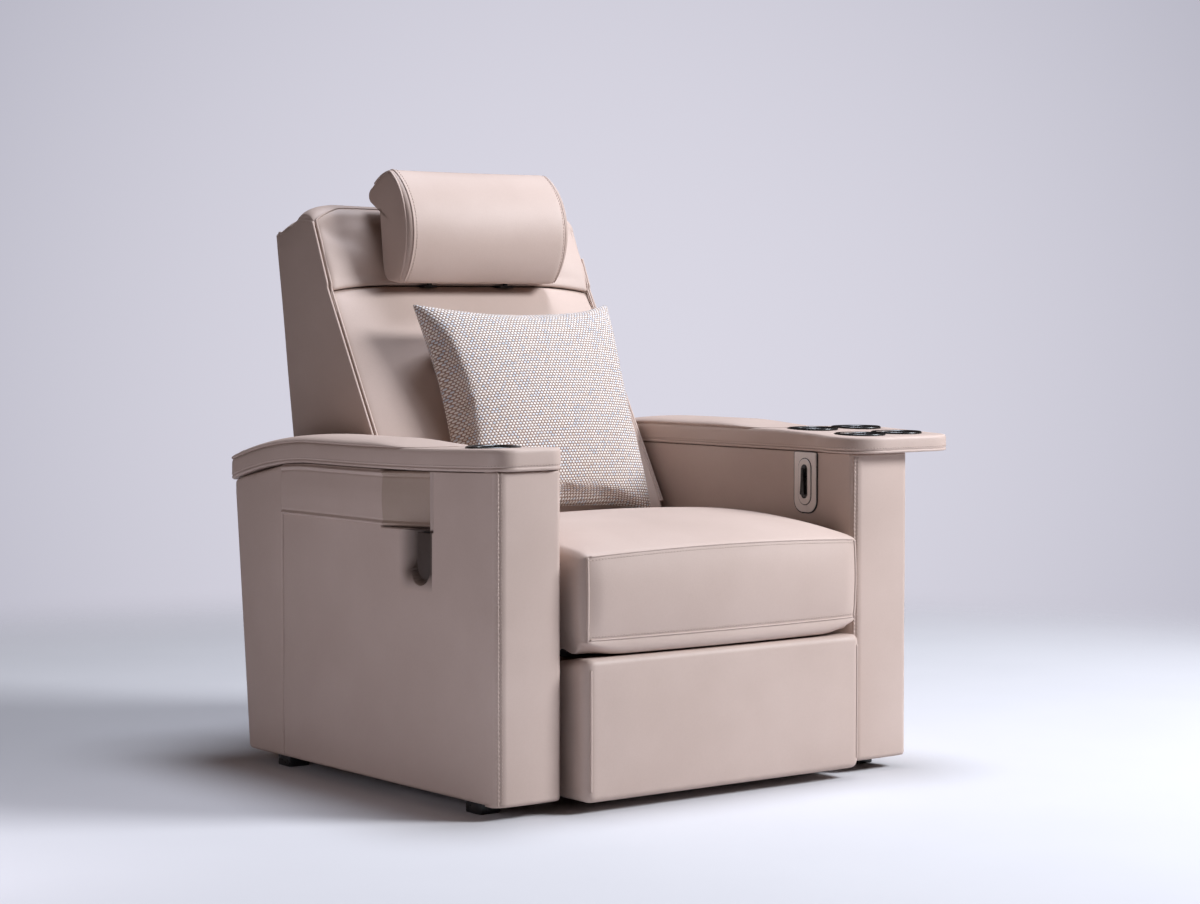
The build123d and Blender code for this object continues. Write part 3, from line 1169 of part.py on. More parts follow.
# Power box on the rear base tube, with a round inlet in its rear face
with BuildPart() as power_box:
    box_rear_d = RAIL_REAR_D
    box_front_d = box_rear_d - POWER_BOX_DEPTH
    box_near, box_far = POWER_BOX_X - POWER_BOX_WIDTH / 2, POWER_BOX_X + POWER_BOX_WIDTH / 2
    box_top_z = RAIL_TOP_Z + POWER_BOX_HEIGHT
    with Locations(block_at(box_near, box_far, box_front_d, box_rear_d, RAIL_TOP_Z, box_top_z)):
        Box(POWER_BOX_WIDTH, POWER_BOX_DEPTH, POWER_BOX_HEIGHT)
    fillet(power_box.edges().filter_by(Axis.Z), POWER_BOX_HEIGHT / 8)
    inlet_z = RAIL_TOP_Z + POWER_BOX_HEIGHT / 2
    with Locations(Location((across(POWER_BOX_X), deep(box_rear_d), inlet_z), (90, 0, 0))):
        Cylinder(INLET_R, 2 * INLET_R, mode=Mode.SUBTRACT)
power_box.part.label = "power_box"
export_step(power_box.part, "parts/power_box.step")

# Back frame: two uprights that end in hinge arms, and three cross bars
upright_out = BACK_HALF - PANEL
upright_in = upright_out - UPRIGHT
arm_half = PLATE_EDGE * 0.75
with BuildPart() as back_uprights:
    for side in (-1, 1):
        with BuildSketch(side_plane(side, upright_in, upright_out)):
            with BuildLine():
                Polyline(
                    at((frame_front(BACK_BASE_Z), BACK_BASE_Z)),
                    at((frame_front(BACK_BASE_Z) + FRAME_DEPTH, BACK_BASE_Z)),
                    at((frame_front(BACK_FRAME_TOP_Z) + FRAME_DEPTH, BACK_FRAME_TOP_Z)),
                    at((frame_front(BACK_FRAME_TOP_Z), BACK_FRAME_TOP_Z)),
                    close=True,
                )
            make_face()
        extrude(amount=UPRIGHT)
        with BuildSketch(side_plane(side, upright_out - HINGE_ARM, upright_out)) as hinge_arm:
            with BuildLine():
                Polyline(
                    at((PIVOT_BACK[0], PIVOT_BACK[1] - arm_half)),
                    at((frame_front(BACK_BASE_Z) + FRAME_DEPTH, PIVOT_BACK[1] - arm_half)),
                    at((frame_front(BACK_BASE_Z) + FRAME_DEPTH, BACK_BASE_Z)),
                    at((frame_front(BACK_BASE_Z), BACK_BASE_Z)),
                    at((frame_front(BACK_BASE_Z) - arm_half, PIVOT_BACK[1] + arm_half)),
                    at((PIVOT_BACK[0], PIVOT_BACK[1] + arm_half)),
                    close=True,
                )
            make_face()
            with Locations(at(PIVOT_BACK)):
                Circle(arm_half)
                Circle(BACK_PIN_R + PIVOT_GAP, mode=Mode.SUBTRACT)
        extrude(amount=HINGE_ARM)
back_uprights.part.label = "back_uprights"
export_step(back_uprights.part, "parts/back_uprights.step")

head_bar_z = BACK_SEAM_Z + BACK_SEAM_GAP / 2 - CROSS_BAR / 2
bar_heights = (BACK_BASE_Z, (BACK_BASE_Z + head_bar_z) / 2, head_bar_z)
with BuildPart() as back_cross_bars:
    for bar_z in bar_heights:
        bar_d = frame_front(bar_z + CROSS_BAR)
        bar_depth = FRAME_DEPTH - FRAME_SLOPE * CROSS_BAR
        with Locations(block_at(-upright_in, upright_in, bar_d, bar_d + bar_depth, bar_z, bar_z + CROSS_BAR)):
            Box(2 * upright_in, bar_depth, CROSS_BAR)
back_cross_bars.part.label = "back_cross_bars"
export_step(back_cross_bars.part, "parts/back_cross_bars.step")

# Recline lever, welded under the lowest cross bar
low_bar_d = frame_front(BACK_BASE_Z + CROSS_BAR)
with BuildPart() as recline_lever:
    with BuildSketch(Plane.YZ.offset(across(-DRIVE_X - LEVER_THICK / 2))) as arm:
        with Locations(at(back_lever_pin)):
            Circle(BAR_R)
        with BuildLine():
            Polyline(
                at((low_bar_d, BACK_BASE_Z)),
                at((low_bar_d + bar_depth, BACK_BASE_Z)),
                at((low_bar_d + bar_depth, BACK_BASE_Z - 2 * BAR_R)),
                at((back_lever_pin[0] + BAR_R, back_lever_pin[1])),
                at((back_lever_pin[0] - BAR_R, back_lever_pin[1])),
                at((low_bar_d - BAR_R, BACK_BASE_Z - 2 * BAR_R)),
                close=True,
            )
        make_face()
    extrude(amount=LEVER_THICK)
    pin_near_x, pin_far_x = -DRIVE_X, -DRIVE_X + LEVER_THICK / 2 + FORK_THICK + 4 * LAYER_GAP
    with Locations(pin_at(pin_near_x, pin_far_x, back_lever_pin)):
        Cylinder(LINK_PIN_R, pin_far_x - pin_near_x)
recline_lever.part.label = "recline_lever"
export_step(recline_lever.part, "parts/recline_lever.step")

# Outer shell of the back: side panels and rear panel
with BuildPart() as back_side_panels:
    for side in (-1, 1):
        with BuildSketch(side_plane(side, upright_out, BACK_HALF)):
            with BuildLine():
                Polyline(
                    at((frame_front(BACK_BASE_Z), BACK_BASE_Z)),
                    at((back_rear(BACK_BASE_Z), BACK_BASE_Z)),
                    at((back_rear(BACK_FRAME_TOP_Z), BACK_FRAME_TOP_Z)),
                    at((frame_front(BACK_FRAME_TOP_Z), BACK_FRAME_TOP_Z)),
                    close=True,
                )
            make_face()
        extrude(amount=PANEL)
back_side_panels.part.label = "back_side_panels"
export_step(back_side_panels.part, "parts/back_side_panels.step")

with BuildPart() as back_rear_panel:
    with BuildSketch(Plane.YZ.offset(across(-upright_out))):
        with BuildLine():
            Polyline(
                at((back_rear(BACK_BASE_Z) - PANEL, BACK_BASE_Z)),
                at((back_rear(BACK_BASE_Z), BACK_BASE_Z)),
                at((back_rear(BACK_FRAME_TOP_Z), BACK_FRAME_TOP_Z)),
                at((back_rear(BACK_FRAME_TOP_Z) - PANEL, BACK_FRAME_TOP_Z)),
                close=True,
            )
        make_face()
    extrude(amount=2 * upright_out)
back_rear_panel.part.label = "back_rear_panel"
export_step(back_rear_panel.part, "parts/back_rear_panel.step")

# Back cushions: a long lower one with a crown, and an upper one that wraps over the top of the back
with BuildPart() as back_lower_cushion:
    for x in stations(BACK_HALF, CUSHION_EDGE):
        tuck = drawn_in(x, BACK_HALF, CUSHION_EDGE, CUSHION_TUCK)
        crown = BACK_SIDE_CROWN + (BACK_CROWN - BACK_SIDE_CROWN) * (1 - (x / BACK_HALF) ** 2)
        lap = (BACK_LAP_D + tuck, BACK_LAP_Z)
        head = (BACK_TOP_FRONT_D + tuck, BACK_SEAM_Z)
        with BuildSketch(Plane.YZ.offset(across(x))):
            with BuildLine():
                Polyline(
                    at(lap),
                    at((BACK_FOOT_D + tuck, BACK_BASE_Z)),
                    at((frame_front(BACK_BASE_Z), BACK_BASE_Z)),
                    at((frame_front(BACK_SEAM_Z), BACK_SEAM_Z)),
                    at(head),
                )
                ThreePointArc(
                    at(head),
                    at(((lap[0] + head[0]) / 2 - crown, (lap[1] + head[1]) / 2 + crown / 2)),
                    at(lap),
                )
            make_face()
    loft(ruled=True)
back_lower_cushion.part.label = "back_lower_cushion"
export_step(back_lower_cushion.part, "parts/back_lower_cushion.step")

upper_low_z = BACK_SEAM_Z + BACK_SEAM_GAP
with BuildPart() as back_upper_cushion:
    for x in stations(BACK_HALF, CUSHION_EDGE):
        tuck = drawn_in(x, BACK_HALF, CUSHION_EDGE, CUSHION_TUCK)
        foot = (BACK_TOP_FRONT_D + tuck, upper_low_z)
        brow = (UPPER_FRONT_D + tuck, UPPER_FRONT_Z - tuck)
        ridge = (UPPER_TOP_D, UPPER_TOP_Z - tuck)
        with BuildSketch(Plane.YZ.offset(across(x))):
            with BuildLine():
                Polyline(
                    at(foot),
                    at((frame_front(upper_low_z), upper_low_z)),
                    at((frame_front(BACK_FRAME_TOP_Z), BACK_FRAME_TOP_Z)),
                    at((back_rear(BACK_FRAME_TOP_Z), BACK_FRAME_TOP_Z)),
                    at((back_rear(UPPER_REAR_Z), UPPER_REAR_Z - tuck)),
                    at(ridge),
                )
                ThreePointArc(
                    at(ridge),
                    at((brow[0] + 0.3 * (UPPER_TOP_D - UPPER_FRONT_D), ridge[1] - UPPER_BROW_DROP)),
                    at(brow),
                )
                ThreePointArc(
                    at(brow),
                    at(((foot[0] + brow[0]) / 2 + UPPER_CROWN, (foot[1] + brow[1]) / 2)),
                    at(foot),
                )
            make_face()
    loft(ruled=True)
back_upper_cushion.part.label = "back_upper_cushion"
export_step(back_upper_cushion.part, "parts/back_upper_cushion.step")

# Headrest: two steel arms that come out through the back's seam, a rod, and a pad that hooks over the top
arm_low_z = BACK_SEAM_Z + (BACK_SEAM_GAP - HEADREST_BAR) / 2
head_bar_d = frame_front(head_bar_z + CROSS_BAR)
arm_front_d = HEADREST_AXIS[0] - HEADREST_NECK / 2
with BuildPart() as headrest_arms:
    for side in (-1, 1):
        near, far = side * HEADREST_ARM_X - HEADREST_ARM / 2, side * HEADREST_ARM_X + HEADREST_ARM / 2
        with Locations(block_at(near, far, arm_front_d, head_bar_d, arm_low_z, arm_low_z + HEADREST_BAR)):
            Box(HEADREST_ARM, head_bar_d - arm_front_d, HEADREST_BAR)
        ear_x = side * HEADREST_ARM_X - HEADREST_EAR / 2
        with BuildSketch(Plane.YZ.offset(across(ear_x))) as ear:
            with Locations(at(HEADREST_AXIS)):
                Circle(HEADREST_EAR_R)
            ear_middle_z = (arm_low_z + HEADREST_AXIS[1]) / 2
            with Locations(at((HEADREST_AXIS[0], ear_middle_z))):
                Rectangle(HEADREST_NECK, HEADREST_AXIS[1] - arm_low_z)
            with Locations(at(HEADREST_AXIS)):
                Circle(HEADREST_ROD_R + PIVOT_GAP, mode=Mode.SUBTRACT)
        extrude(amount=HEADREST_EAR)
headrest_arms.part.label = "headrest_arms"
export_step(headrest_arms.part, "parts/headrest_arms.step")

with BuildPart() as headrest_rod:
    with Locations(pin_at(-HEADREST_ROD / 2, HEADREST_ROD / 2, HEADREST_AXIS)):
        Cylinder(HEADREST_ROD_R, HEADREST_ROD)
headrest_rod.part.label = "headrest_rod"
export_step(headrest_rod.part, "parts/headrest_rod.step")

with BuildPart() as headrest_pad:
    for x in stations(HEADREST_HALF, HEADREST_EDGE):
        tuck = drawn_in(x, HEADREST_HALF, HEADREST_EDGE, HEADREST_TUCK)
        low = (HEADREST_LOW[0] + tuck, HEADREST_LOW[1] + tuck)
        top = (HEADREST_TOP[0], HEADREST_TOP[1] - tuck)
        with BuildSketch(Plane.YZ.offset(across(x))):
            with BuildLine():
                ThreePointArc(at(low), at((HEADREST_NOSE[0] + tuck, HEADREST_NOSE[1])), at(top))
                hook_bulge = (
                    (top[0] + HEADREST_HOOK[0]) / 2 + HEADREST_TUCK,
                    (top[1] + HEADREST_HOOK[1]) / 2 + HEADREST_TUCK,
                )
                ThreePointArc(at(top), at(hook_bulge), at(HEADREST_HOOK))
                Polyline(at(HEADREST_HOOK), at(HEADREST_STEP), at(HEADREST_HEEL))
                heel_bulge = (
                    (low[0] + HEADREST_HEEL[0]) / 2 + HEADREST_TUCK / 2,
                    (low[1] + HEADREST_HEEL[1]) / 2 - HEADREST_TUCK,
                )
                ThreePointArc(at(HEADREST_HEEL), at(heel_bulge), at(low))
            make_face()
    loft(ruled=True)
    slot_half = HEADREST_EAR / 2 + HEADREST_SLOT_GAP
    slot_front_d = HEADREST_AXIS[0] - HEADREST_SLOT_REACH
    slot_top_z = HEADREST_AXIS[1] + HEADREST_EAR_R + HEADREST_SLOT_GAP
    for side in (-1, 1):
        near, far = side * HEADREST_ARM_X - slot_half, side * HEADREST_ARM_X + slot_half
        with Locations(block_at(near, far, slot_front_d, HEADREST_HOOK[0], arm_low_z, slot_top_z)):
            Box(2 * slot_half, HEADREST_HOOK[0] - slot_front_d, slot_top_z - arm_low_z, mode=Mode.SUBTRACT)
    with Locations(pin_at(-HEADREST_ROD / 2 - ROD_END_GAP, HEADREST_ROD / 2 + ROD_END_GAP, HEADREST_AXIS)):
        Cylinder(HEADREST_ROD_R + SKIN_GAP, HEADREST_ROD + 2 * ROD_END_GAP, mode=Mode.SUBTRACT)
headrest_pad.part.label = "headrest_pad"
export_step(headrest_pad.part, "parts/headrest_pad.step")

# Throw pillow: a knife-edge cushion that leans on the back, flatter behind than in front
pillow_up = (0, sin(radians(PILLOW_TILT)), cos(radians(PILLOW_TILT)))
with BuildPart() as throw_pillow:
    for share in (-1, -0.93, -0.62, 0, 0.62, 0.93, 1):
        rise = share * PILLOW_RISE
        fullness = (1 - share ** 2) ** 0.75
        half = PILLOW_HALF - PILLOW_WAIST * (1 - share ** 2)
        pillow_plane = Plane(
            origin=(
                across(PILLOW_X),
                deep(PILLOW_D) + rise * pillow_up[1],
                PILLOW_Z + rise * pillow_up[2],
            ),
            x_dir=(1, 0, 0),
            z_dir=pillow_up,
        )
        with BuildSketch(pillow_plane):
            with BuildLine():
                ThreePointArc((-half, 0), (0, PILLOW_LIP + PILLOW_REAR * fullness), (half, 0))
                ThreePointArc((half, 0), (0, -PILLOW_LIP - PILLOW_FRONT * fullness), (-half, 0))
            make_face()
    loft()
throw_pillow.part.label = "throw_pillow"
export_step(throw_pillow.part, "parts/throw_pillow.step")
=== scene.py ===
import math
import bpy
import bmesh
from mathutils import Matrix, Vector, noise
from mathutils.bvhtree import BVHTree


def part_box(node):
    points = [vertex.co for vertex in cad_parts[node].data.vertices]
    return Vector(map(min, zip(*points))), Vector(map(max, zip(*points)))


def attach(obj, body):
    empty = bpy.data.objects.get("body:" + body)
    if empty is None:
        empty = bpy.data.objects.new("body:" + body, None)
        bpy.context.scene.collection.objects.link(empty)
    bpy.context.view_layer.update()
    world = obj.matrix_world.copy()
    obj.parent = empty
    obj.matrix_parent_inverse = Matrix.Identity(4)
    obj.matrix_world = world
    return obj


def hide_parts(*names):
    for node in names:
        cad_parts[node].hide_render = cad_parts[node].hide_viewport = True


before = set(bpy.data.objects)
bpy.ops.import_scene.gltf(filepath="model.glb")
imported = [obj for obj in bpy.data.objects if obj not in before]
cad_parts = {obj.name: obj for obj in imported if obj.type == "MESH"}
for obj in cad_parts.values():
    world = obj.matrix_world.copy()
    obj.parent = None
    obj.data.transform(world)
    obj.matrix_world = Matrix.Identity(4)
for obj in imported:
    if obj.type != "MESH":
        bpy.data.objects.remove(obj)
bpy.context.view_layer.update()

# The room: a plain pale floor that fades into a lavender-grey wall some three metres behind the chair,
# with soft lamps high on the right and overhead, a weak one low on the left, and the camera at standing
# distance.
scene = bpy.context.scene
scene.view_settings.view_transform = 'Standard'

camera_data = bpy.data.cameras.new("camera")
camera_data.sensor_fit = 'HORIZONTAL'
camera_data.sensor_width = 36
camera_data.lens = 82.65
camera = bpy.data.objects.new("camera", camera_data)
camera.location = (-3.1329, -4.1519, 0.8453)
camera.rotation_euler = (math.radians(87.0782), 0, math.radians(-37.431))
scene.collection.objects.link(camera)
scene.camera = camera


def add(tree, kind, sockets=None, **settings):
    """A node of that kind with its settings and its inputs set, or linked where a socket is given."""
    made = tree.nodes.new(kind)
    for name, value in settings.items():
        setattr(made, name, value)
    for name, value in (sockets or {}).items():
        if isinstance(value, bpy.types.NodeSocket):
            tree.links.new(value, made.inputs[name])
        else:
            made.inputs[name].default_value = value
    return made


def blank(name):
    """A new material and its emptied node tree."""
    made = bpy.data.materials.new(name)
    made.use_nodes = True
    made.node_tree.nodes.clear()
    return made, made.node_tree


def ramp(tree, value, low, high, start=0.0, end=1.0):
    """A node that goes from a low colour to a high one as the value goes from start to end."""
    made = add(tree, 'ShaderNodeValToRGB', {'Fac': value})
    for stop, colour, position in zip(made.color_ramp.elements, (low, high), (start, end)):
        stop.position = position
        stop.color = (*colour, 1)
    return made


def lamp(name, place, target, size, watts, colour):
    """A round soft lamp at a place, turned to a target."""
    data = bpy.data.lights.new(name, 'AREA')
    data.shape = 'DISK'
    data.size = size
    data.energy = watts
    data.color = colour
    made = bpy.data.objects.new(name, data)
    made.location = place
    made.rotation_euler = (Vector(target) - Vector(place)).to_track_quat('-Z', 'Y').to_euler()
    scene.collection.objects.link(made)


lamp("key_lamp", (3.15, -3.40, 3.3), (0, -0.1, 0.5), 1.9, 366, (0.965, 1.0, 1.065))
lamp("top_lamp", (0.8, 0.1, 5.4), (0, 0, 0.4), 2.0, 195, (0.91, 0.97, 1.10))
lamp("low_lamp", (-1.75, -0.22, 0.48), (-0.5, -0.12, 0.40), 0.7, 3.4, (0.99, 0.95, 1.05))

world = bpy.data.worlds.new("room")
scene.world = world
world.use_nodes = True
room = world.node_tree
room.nodes.clear()
# The wall: a background colour seen only by the camera, lighter towards the middle of the view and darker to its
# sides, painted light for a lit wall.
look_way = add(room, 'ShaderNodeTexCoord').outputs['Generated']
wall_middle = Vector((0.6075, 0.7936, -0.03)).normalized()
facing = add(room, 'ShaderNodeVectorMath', {0: look_way, 1: wall_middle}, operation='DOT_PRODUCT')
spread = add(room, 'ShaderNodeMapRange', {'Value': facing.outputs['Value'], 'From Min': 0.968, 'From Max': 0.9995})
wall = add(room, 'ShaderNodeMixRGB', {0: spread.outputs['Result'], 1: (0.50, 0.495, 0.575, 1),
                                      2: (0.70, 0.685, 0.775, 1)})
wall_light = add(room, 'ShaderNodeBackground', {'Color': wall.outputs['Color']})
soft_light = add(room, 'ShaderNodeBackground', {'Color': (0.78, 0.46, 0.28, 1), 'Strength': 0.056})
ray = add(room, 'ShaderNodeLightPath')
seen = add(room, 'ShaderNodeMath', {0: ray.outputs['Is Camera Ray'], 1: ray.outputs['Is Transmission Ray']},
           operation='MAXIMUM')
room_mix = add(room, 'ShaderNodeMixShader', {0: seen.outputs[0], 1: soft_light.outputs[0], 2: wall_light.outputs[0]})
add(room, 'ShaderNodeOutputWorld', {'Surface': room_mix.outputs[0]})

floor_material, tree = blank("pale_floor")
spot = add(tree, 'ShaderNodeTexCoord').outputs['Object']
reach = add(tree, 'ShaderNodeVectorMath', {0: spot}, operation='LENGTH')
fade = add(tree, 'ShaderNodeMapRange', {'Value': reach.outputs['Value'], 'From Min': 1.7, 'From Max': 3.5},
           interpolation_type='SMOOTHERSTEP')
mottle = add(tree, 'ShaderNodeTexNoise', {'Vector': spot, 'Scale': 3.0, 'Detail': 2.0})
tint = ramp(tree, mottle.outputs['Fac'], (0.605, 0.602, 0.626), (0.635, 0.632, 0.656))
paint = add(tree, 'ShaderNodeBsdfPrincipled', {'Base Color': tint.outputs['Color'], 'Roughness': 0.75,
                                               'Specular IOR Level': 0.2})
clear = add(tree, 'ShaderNodeBsdfTransparent')
mixed = add(tree, 'ShaderNodeMixShader', {0: fade.outputs['Result'], 1: paint.outputs[0], 2: clear.outputs[0]})
add(tree, 'ShaderNodeOutputMaterial', {'Surface': mixed.outputs[0]})
floor_mesh = bpy.data.meshes.new("floor")
sheet = bmesh.new()
bmesh.ops.create_circle(sheet, cap_ends=True, segments=96, radius=3.6)
sheet.to_mesh(floor_mesh)
sheet.free()
floor_mesh.materials.append(floor_material)
floor = bpy.data.objects.new("floor", floor_mesh)
scene.collection.objects.link(floor)

# The steel underneath: rails, tubes, side plates and links of pressed strip, powder coated black with a
# fine orange-peel skin and a little rub-through along the working faces.
steel, tree = blank("black_steel")
spot = add(tree, 'ShaderNodeTexCoord').outputs['Object']
peel = add(tree, 'ShaderNodeTexNoise', {'Vector': spot, 'Scale': 420.0, 'Detail': 2.0})
rub = add(tree, 'ShaderNodeTexNoise', {'Vector': spot, 'Scale': 26.0, 'Detail': 5.0, 'Roughness': 0.7})
coat = ramp(tree, rub.outputs['Fac'], (0.012, 0.012, 0.013), (0.045, 0.044, 0.043), start=0.42, end=0.78)
dull = add(tree, 'ShaderNodeMapRange', {'Value': rub.outputs['Fac'], 'To Min': 0.38, 'To Max': 0.58})
skin_bump = add(tree, 'ShaderNodeBump', {'Height': peel.outputs['Fac'], 'Strength': 0.25, 'Distance': 0.0004})
coated = add(tree, 'ShaderNodeBsdfPrincipled', {'Base Color': coat.outputs['Color'],
                                                'Roughness': dull.outputs['Result'],
                                                'Metallic': 0.35, 'Normal': skin_bump.outputs['Normal']})
add(tree, 'ShaderNodeOutputMaterial', {'Surface': coated.outputs[0]})


def dress(material, *nodes):
    """The CAD nodes of these names take this material."""
    for name in nodes:
        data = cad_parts[name].data
        data.materials.clear()
        data.materials.append(material)


dress(steel, "base_side_rails", "base_cross_tubes", "mechanism_side_plates", "seat_side_rails", "seat_cross_rails",
      "footrest_rail", "recline_rail", "front_links", "torque_tube", "footrest_lever", "outer_links", "inner_links",
      "rear_links", "footrest_brackets", "back_uprights", "back_cross_bars", "recline_lever", "headrest_arms",
      "headrest_rod")

# The drives: two screw motors, their sliding carriages and the power box, moulded in grey-black plastic
# with the fine spark-eroded texture of a tool.
moulded, tree = blank("motor_plastic")
spot = add(tree, 'ShaderNodeTexCoord').outputs['Object']
spark = add(tree, 'ShaderNodeTexNoise', {'Vector': spot, 'Scale': 900.0, 'Detail': 3.0})
cloud = add(tree, 'ShaderNodeTexNoise', {'Vector': spot, 'Scale': 14.0, 'Detail': 3.0})
grey = ramp(tree, cloud.outputs['Fac'], (0.022, 0.022, 0.024), (0.040, 0.040, 0.042))
dull = add(tree, 'ShaderNodeMapRange', {'Value': spark.outputs['Fac'], 'To Min': 0.45, 'To Max': 0.7})
spark_bump = add(tree, 'ShaderNodeBump', {'Height': spark.outputs['Fac'], 'Strength': 0.3, 'Distance': 0.0003})
plastic = add(tree, 'ShaderNodeBsdfPrincipled', {'Base Color': grey.outputs['Color'],
                                                 'Roughness': dull.outputs['Result'],
                                                 'Normal': spark_bump.outputs['Normal']})
add(tree, 'ShaderNodeOutputMaterial', {'Surface': plastic.outputs[0]})
dress(moulded, "footrest_motor", "recline_motor", "power_box", "footrest_carriage", "recline_carriage")

# The hidden wood: arm posts and rails and the footrest board, plain sawn softwood and plywood.
wood, tree = blank("plain_wood")
spot = add(tree, 'ShaderNodeTexCoord').outputs['Object']
drawn = add(tree, 'ShaderNodeMapping', {'Vector': spot, 'Scale': (60.0, 60.0, 5.0)})
fibre = add(tree, 'ShaderNodeTexNoise', {'Vector': drawn.outputs['Vector'], 'Scale': 1.0, 'Detail': 6.0,
                                         'Distortion': 0.6})
rings = add(tree, 'ShaderNodeTexWave', {'Vector': drawn.outputs['Vector'], 'Scale': 0.35, 'Distortion': 4.0,
                                        'Detail': 3.0})
both = add(tree, 'ShaderNodeMath', {0: fibre.outputs['Fac'], 1: rings.outputs['Fac']}, operation='MULTIPLY')
timber = ramp(tree, both.outputs[0], (0.30, 0.19, 0.10), (0.56, 0.40, 0.24), end=0.6)
saw_bump = add(tree, 'ShaderNodeBump', {'Height': fibre.outputs['Fac'], 'Strength': 0.35, 'Distance': 0.0006})
sawn = add(tree, 'ShaderNodeBsdfPrincipled', {'Base Color': timber.outputs['Color'], 'Roughness': 0.7,
                                              'Normal': saw_bump.outputs['Normal']})
add(tree, 'ShaderNodeOutputMaterial', {'Surface': sawn.outputs[0]})
dress(wood, "left_arm_posts", "left_arm_rails", "right_arm_posts", "right_arm_rails", "footrest_board")

# The seat's straps: flat woven elastic webbing, black, stretched across the seat rails.
strap, tree = blank("webbing")
spot = add(tree, 'ShaderNodeTexCoord').outputs['Object']
rib = add(tree, 'ShaderNodeTexWave', {'Vector': spot, 'Scale': 160.0}, bands_direction='X')
pick = add(tree, 'ShaderNodeTexWave', {'Vector': spot, 'Scale': 110.0}, bands_direction='Y')
over = add(tree, 'ShaderNodeMath', {0: rib.outputs['Fac'], 1: pick.outputs['Fac']}, operation='MULTIPLY')
yarn = ramp(tree, over.outputs[0], (0.010, 0.010, 0.011), (0.060, 0.058, 0.056))
weave_bump = add(tree, 'ShaderNodeBump', {'Height': over.outputs[0], 'Strength': 0.6, 'Distance': 0.0008})
elastic = add(tree, 'ShaderNodeBsdfPrincipled', {'Base Color': yarn.outputs['Color'], 'Roughness': 0.8,
                                                 'Normal': weave_bump.outputs['Normal']})
add(tree, 'ShaderNodeOutputMaterial', {'Surface': elastic.outputs[0]})
dress(strap, "seat_webbing")

# The cover: smooth taupe upholstery leather with a fine pebbled grain, cut in panels and sewn. All the
# padded pieces below wear it, the left arm's outside and the side band's inturned end in copies with painted
# shade. Sizes below are in metres from the seat's middle, from the arms' front plane and from a level 8 mm under
# the floor, where the glides would end if they did not sink in.
grain = bpy.data.node_groups.new("leather_grain", 'ShaderNodeTree')
grain.interface.new_socket("Pebble", in_out='INPUT', socket_type='NodeSocketFloat').default_value = 700.0
grain.interface.new_socket("Tone", in_out='OUTPUT', socket_type='NodeSocketFloat')
grain.interface.new_socket("Height", in_out='OUTPUT', socket_type='NodeSocketFloat')
given = grain.nodes.new('NodeGroupInput')
spot = add(grain, 'ShaderNodeTexCoord').outputs['Object']
pebble = add(grain, 'ShaderNodeTexVoronoi', {'Vector': spot, 'Scale': given.outputs['Pebble']}, feature='SMOOTH_F1')
hair = add(grain, 'ShaderNodeTexNoise', {'Vector': spot, 'Scale': 230.0, 'Detail': 4.0, 'Roughness': 0.65})
drift = add(grain, 'ShaderNodeTexNoise', {'Vector': spot, 'Scale': 7.0, 'Detail': 3.0})
dome = add(grain, 'ShaderNodeMath', {0: 1.0, 1: pebble.outputs['Distance']}, operation='SUBTRACT')
rough_skin = add(grain, 'ShaderNodeMath', {0: hair.outputs['Fac'], 1: 0.9}, operation='MULTIPLY')
height = add(grain, 'ShaderNodeMath', {0: dome.outputs[0], 1: rough_skin.outputs[0]}, operation='ADD')
slow = add(grain, 'ShaderNodeMath', {0: drift.outputs['Fac'], 1: 0.75}, operation='MULTIPLY')
quickly = add(grain, 'ShaderNodeMath', {0: hair.outputs['Fac'], 1: 0.25}, operation='MULTIPLY')
tone = add(grain, 'ShaderNodeMath', {0: slow.outputs[0], 1: quickly.outputs[0]}, operation='ADD')
add(grain, 'NodeGroupOutput', {'Tone': tone.outputs[0], 'Height': height.outputs[0]})


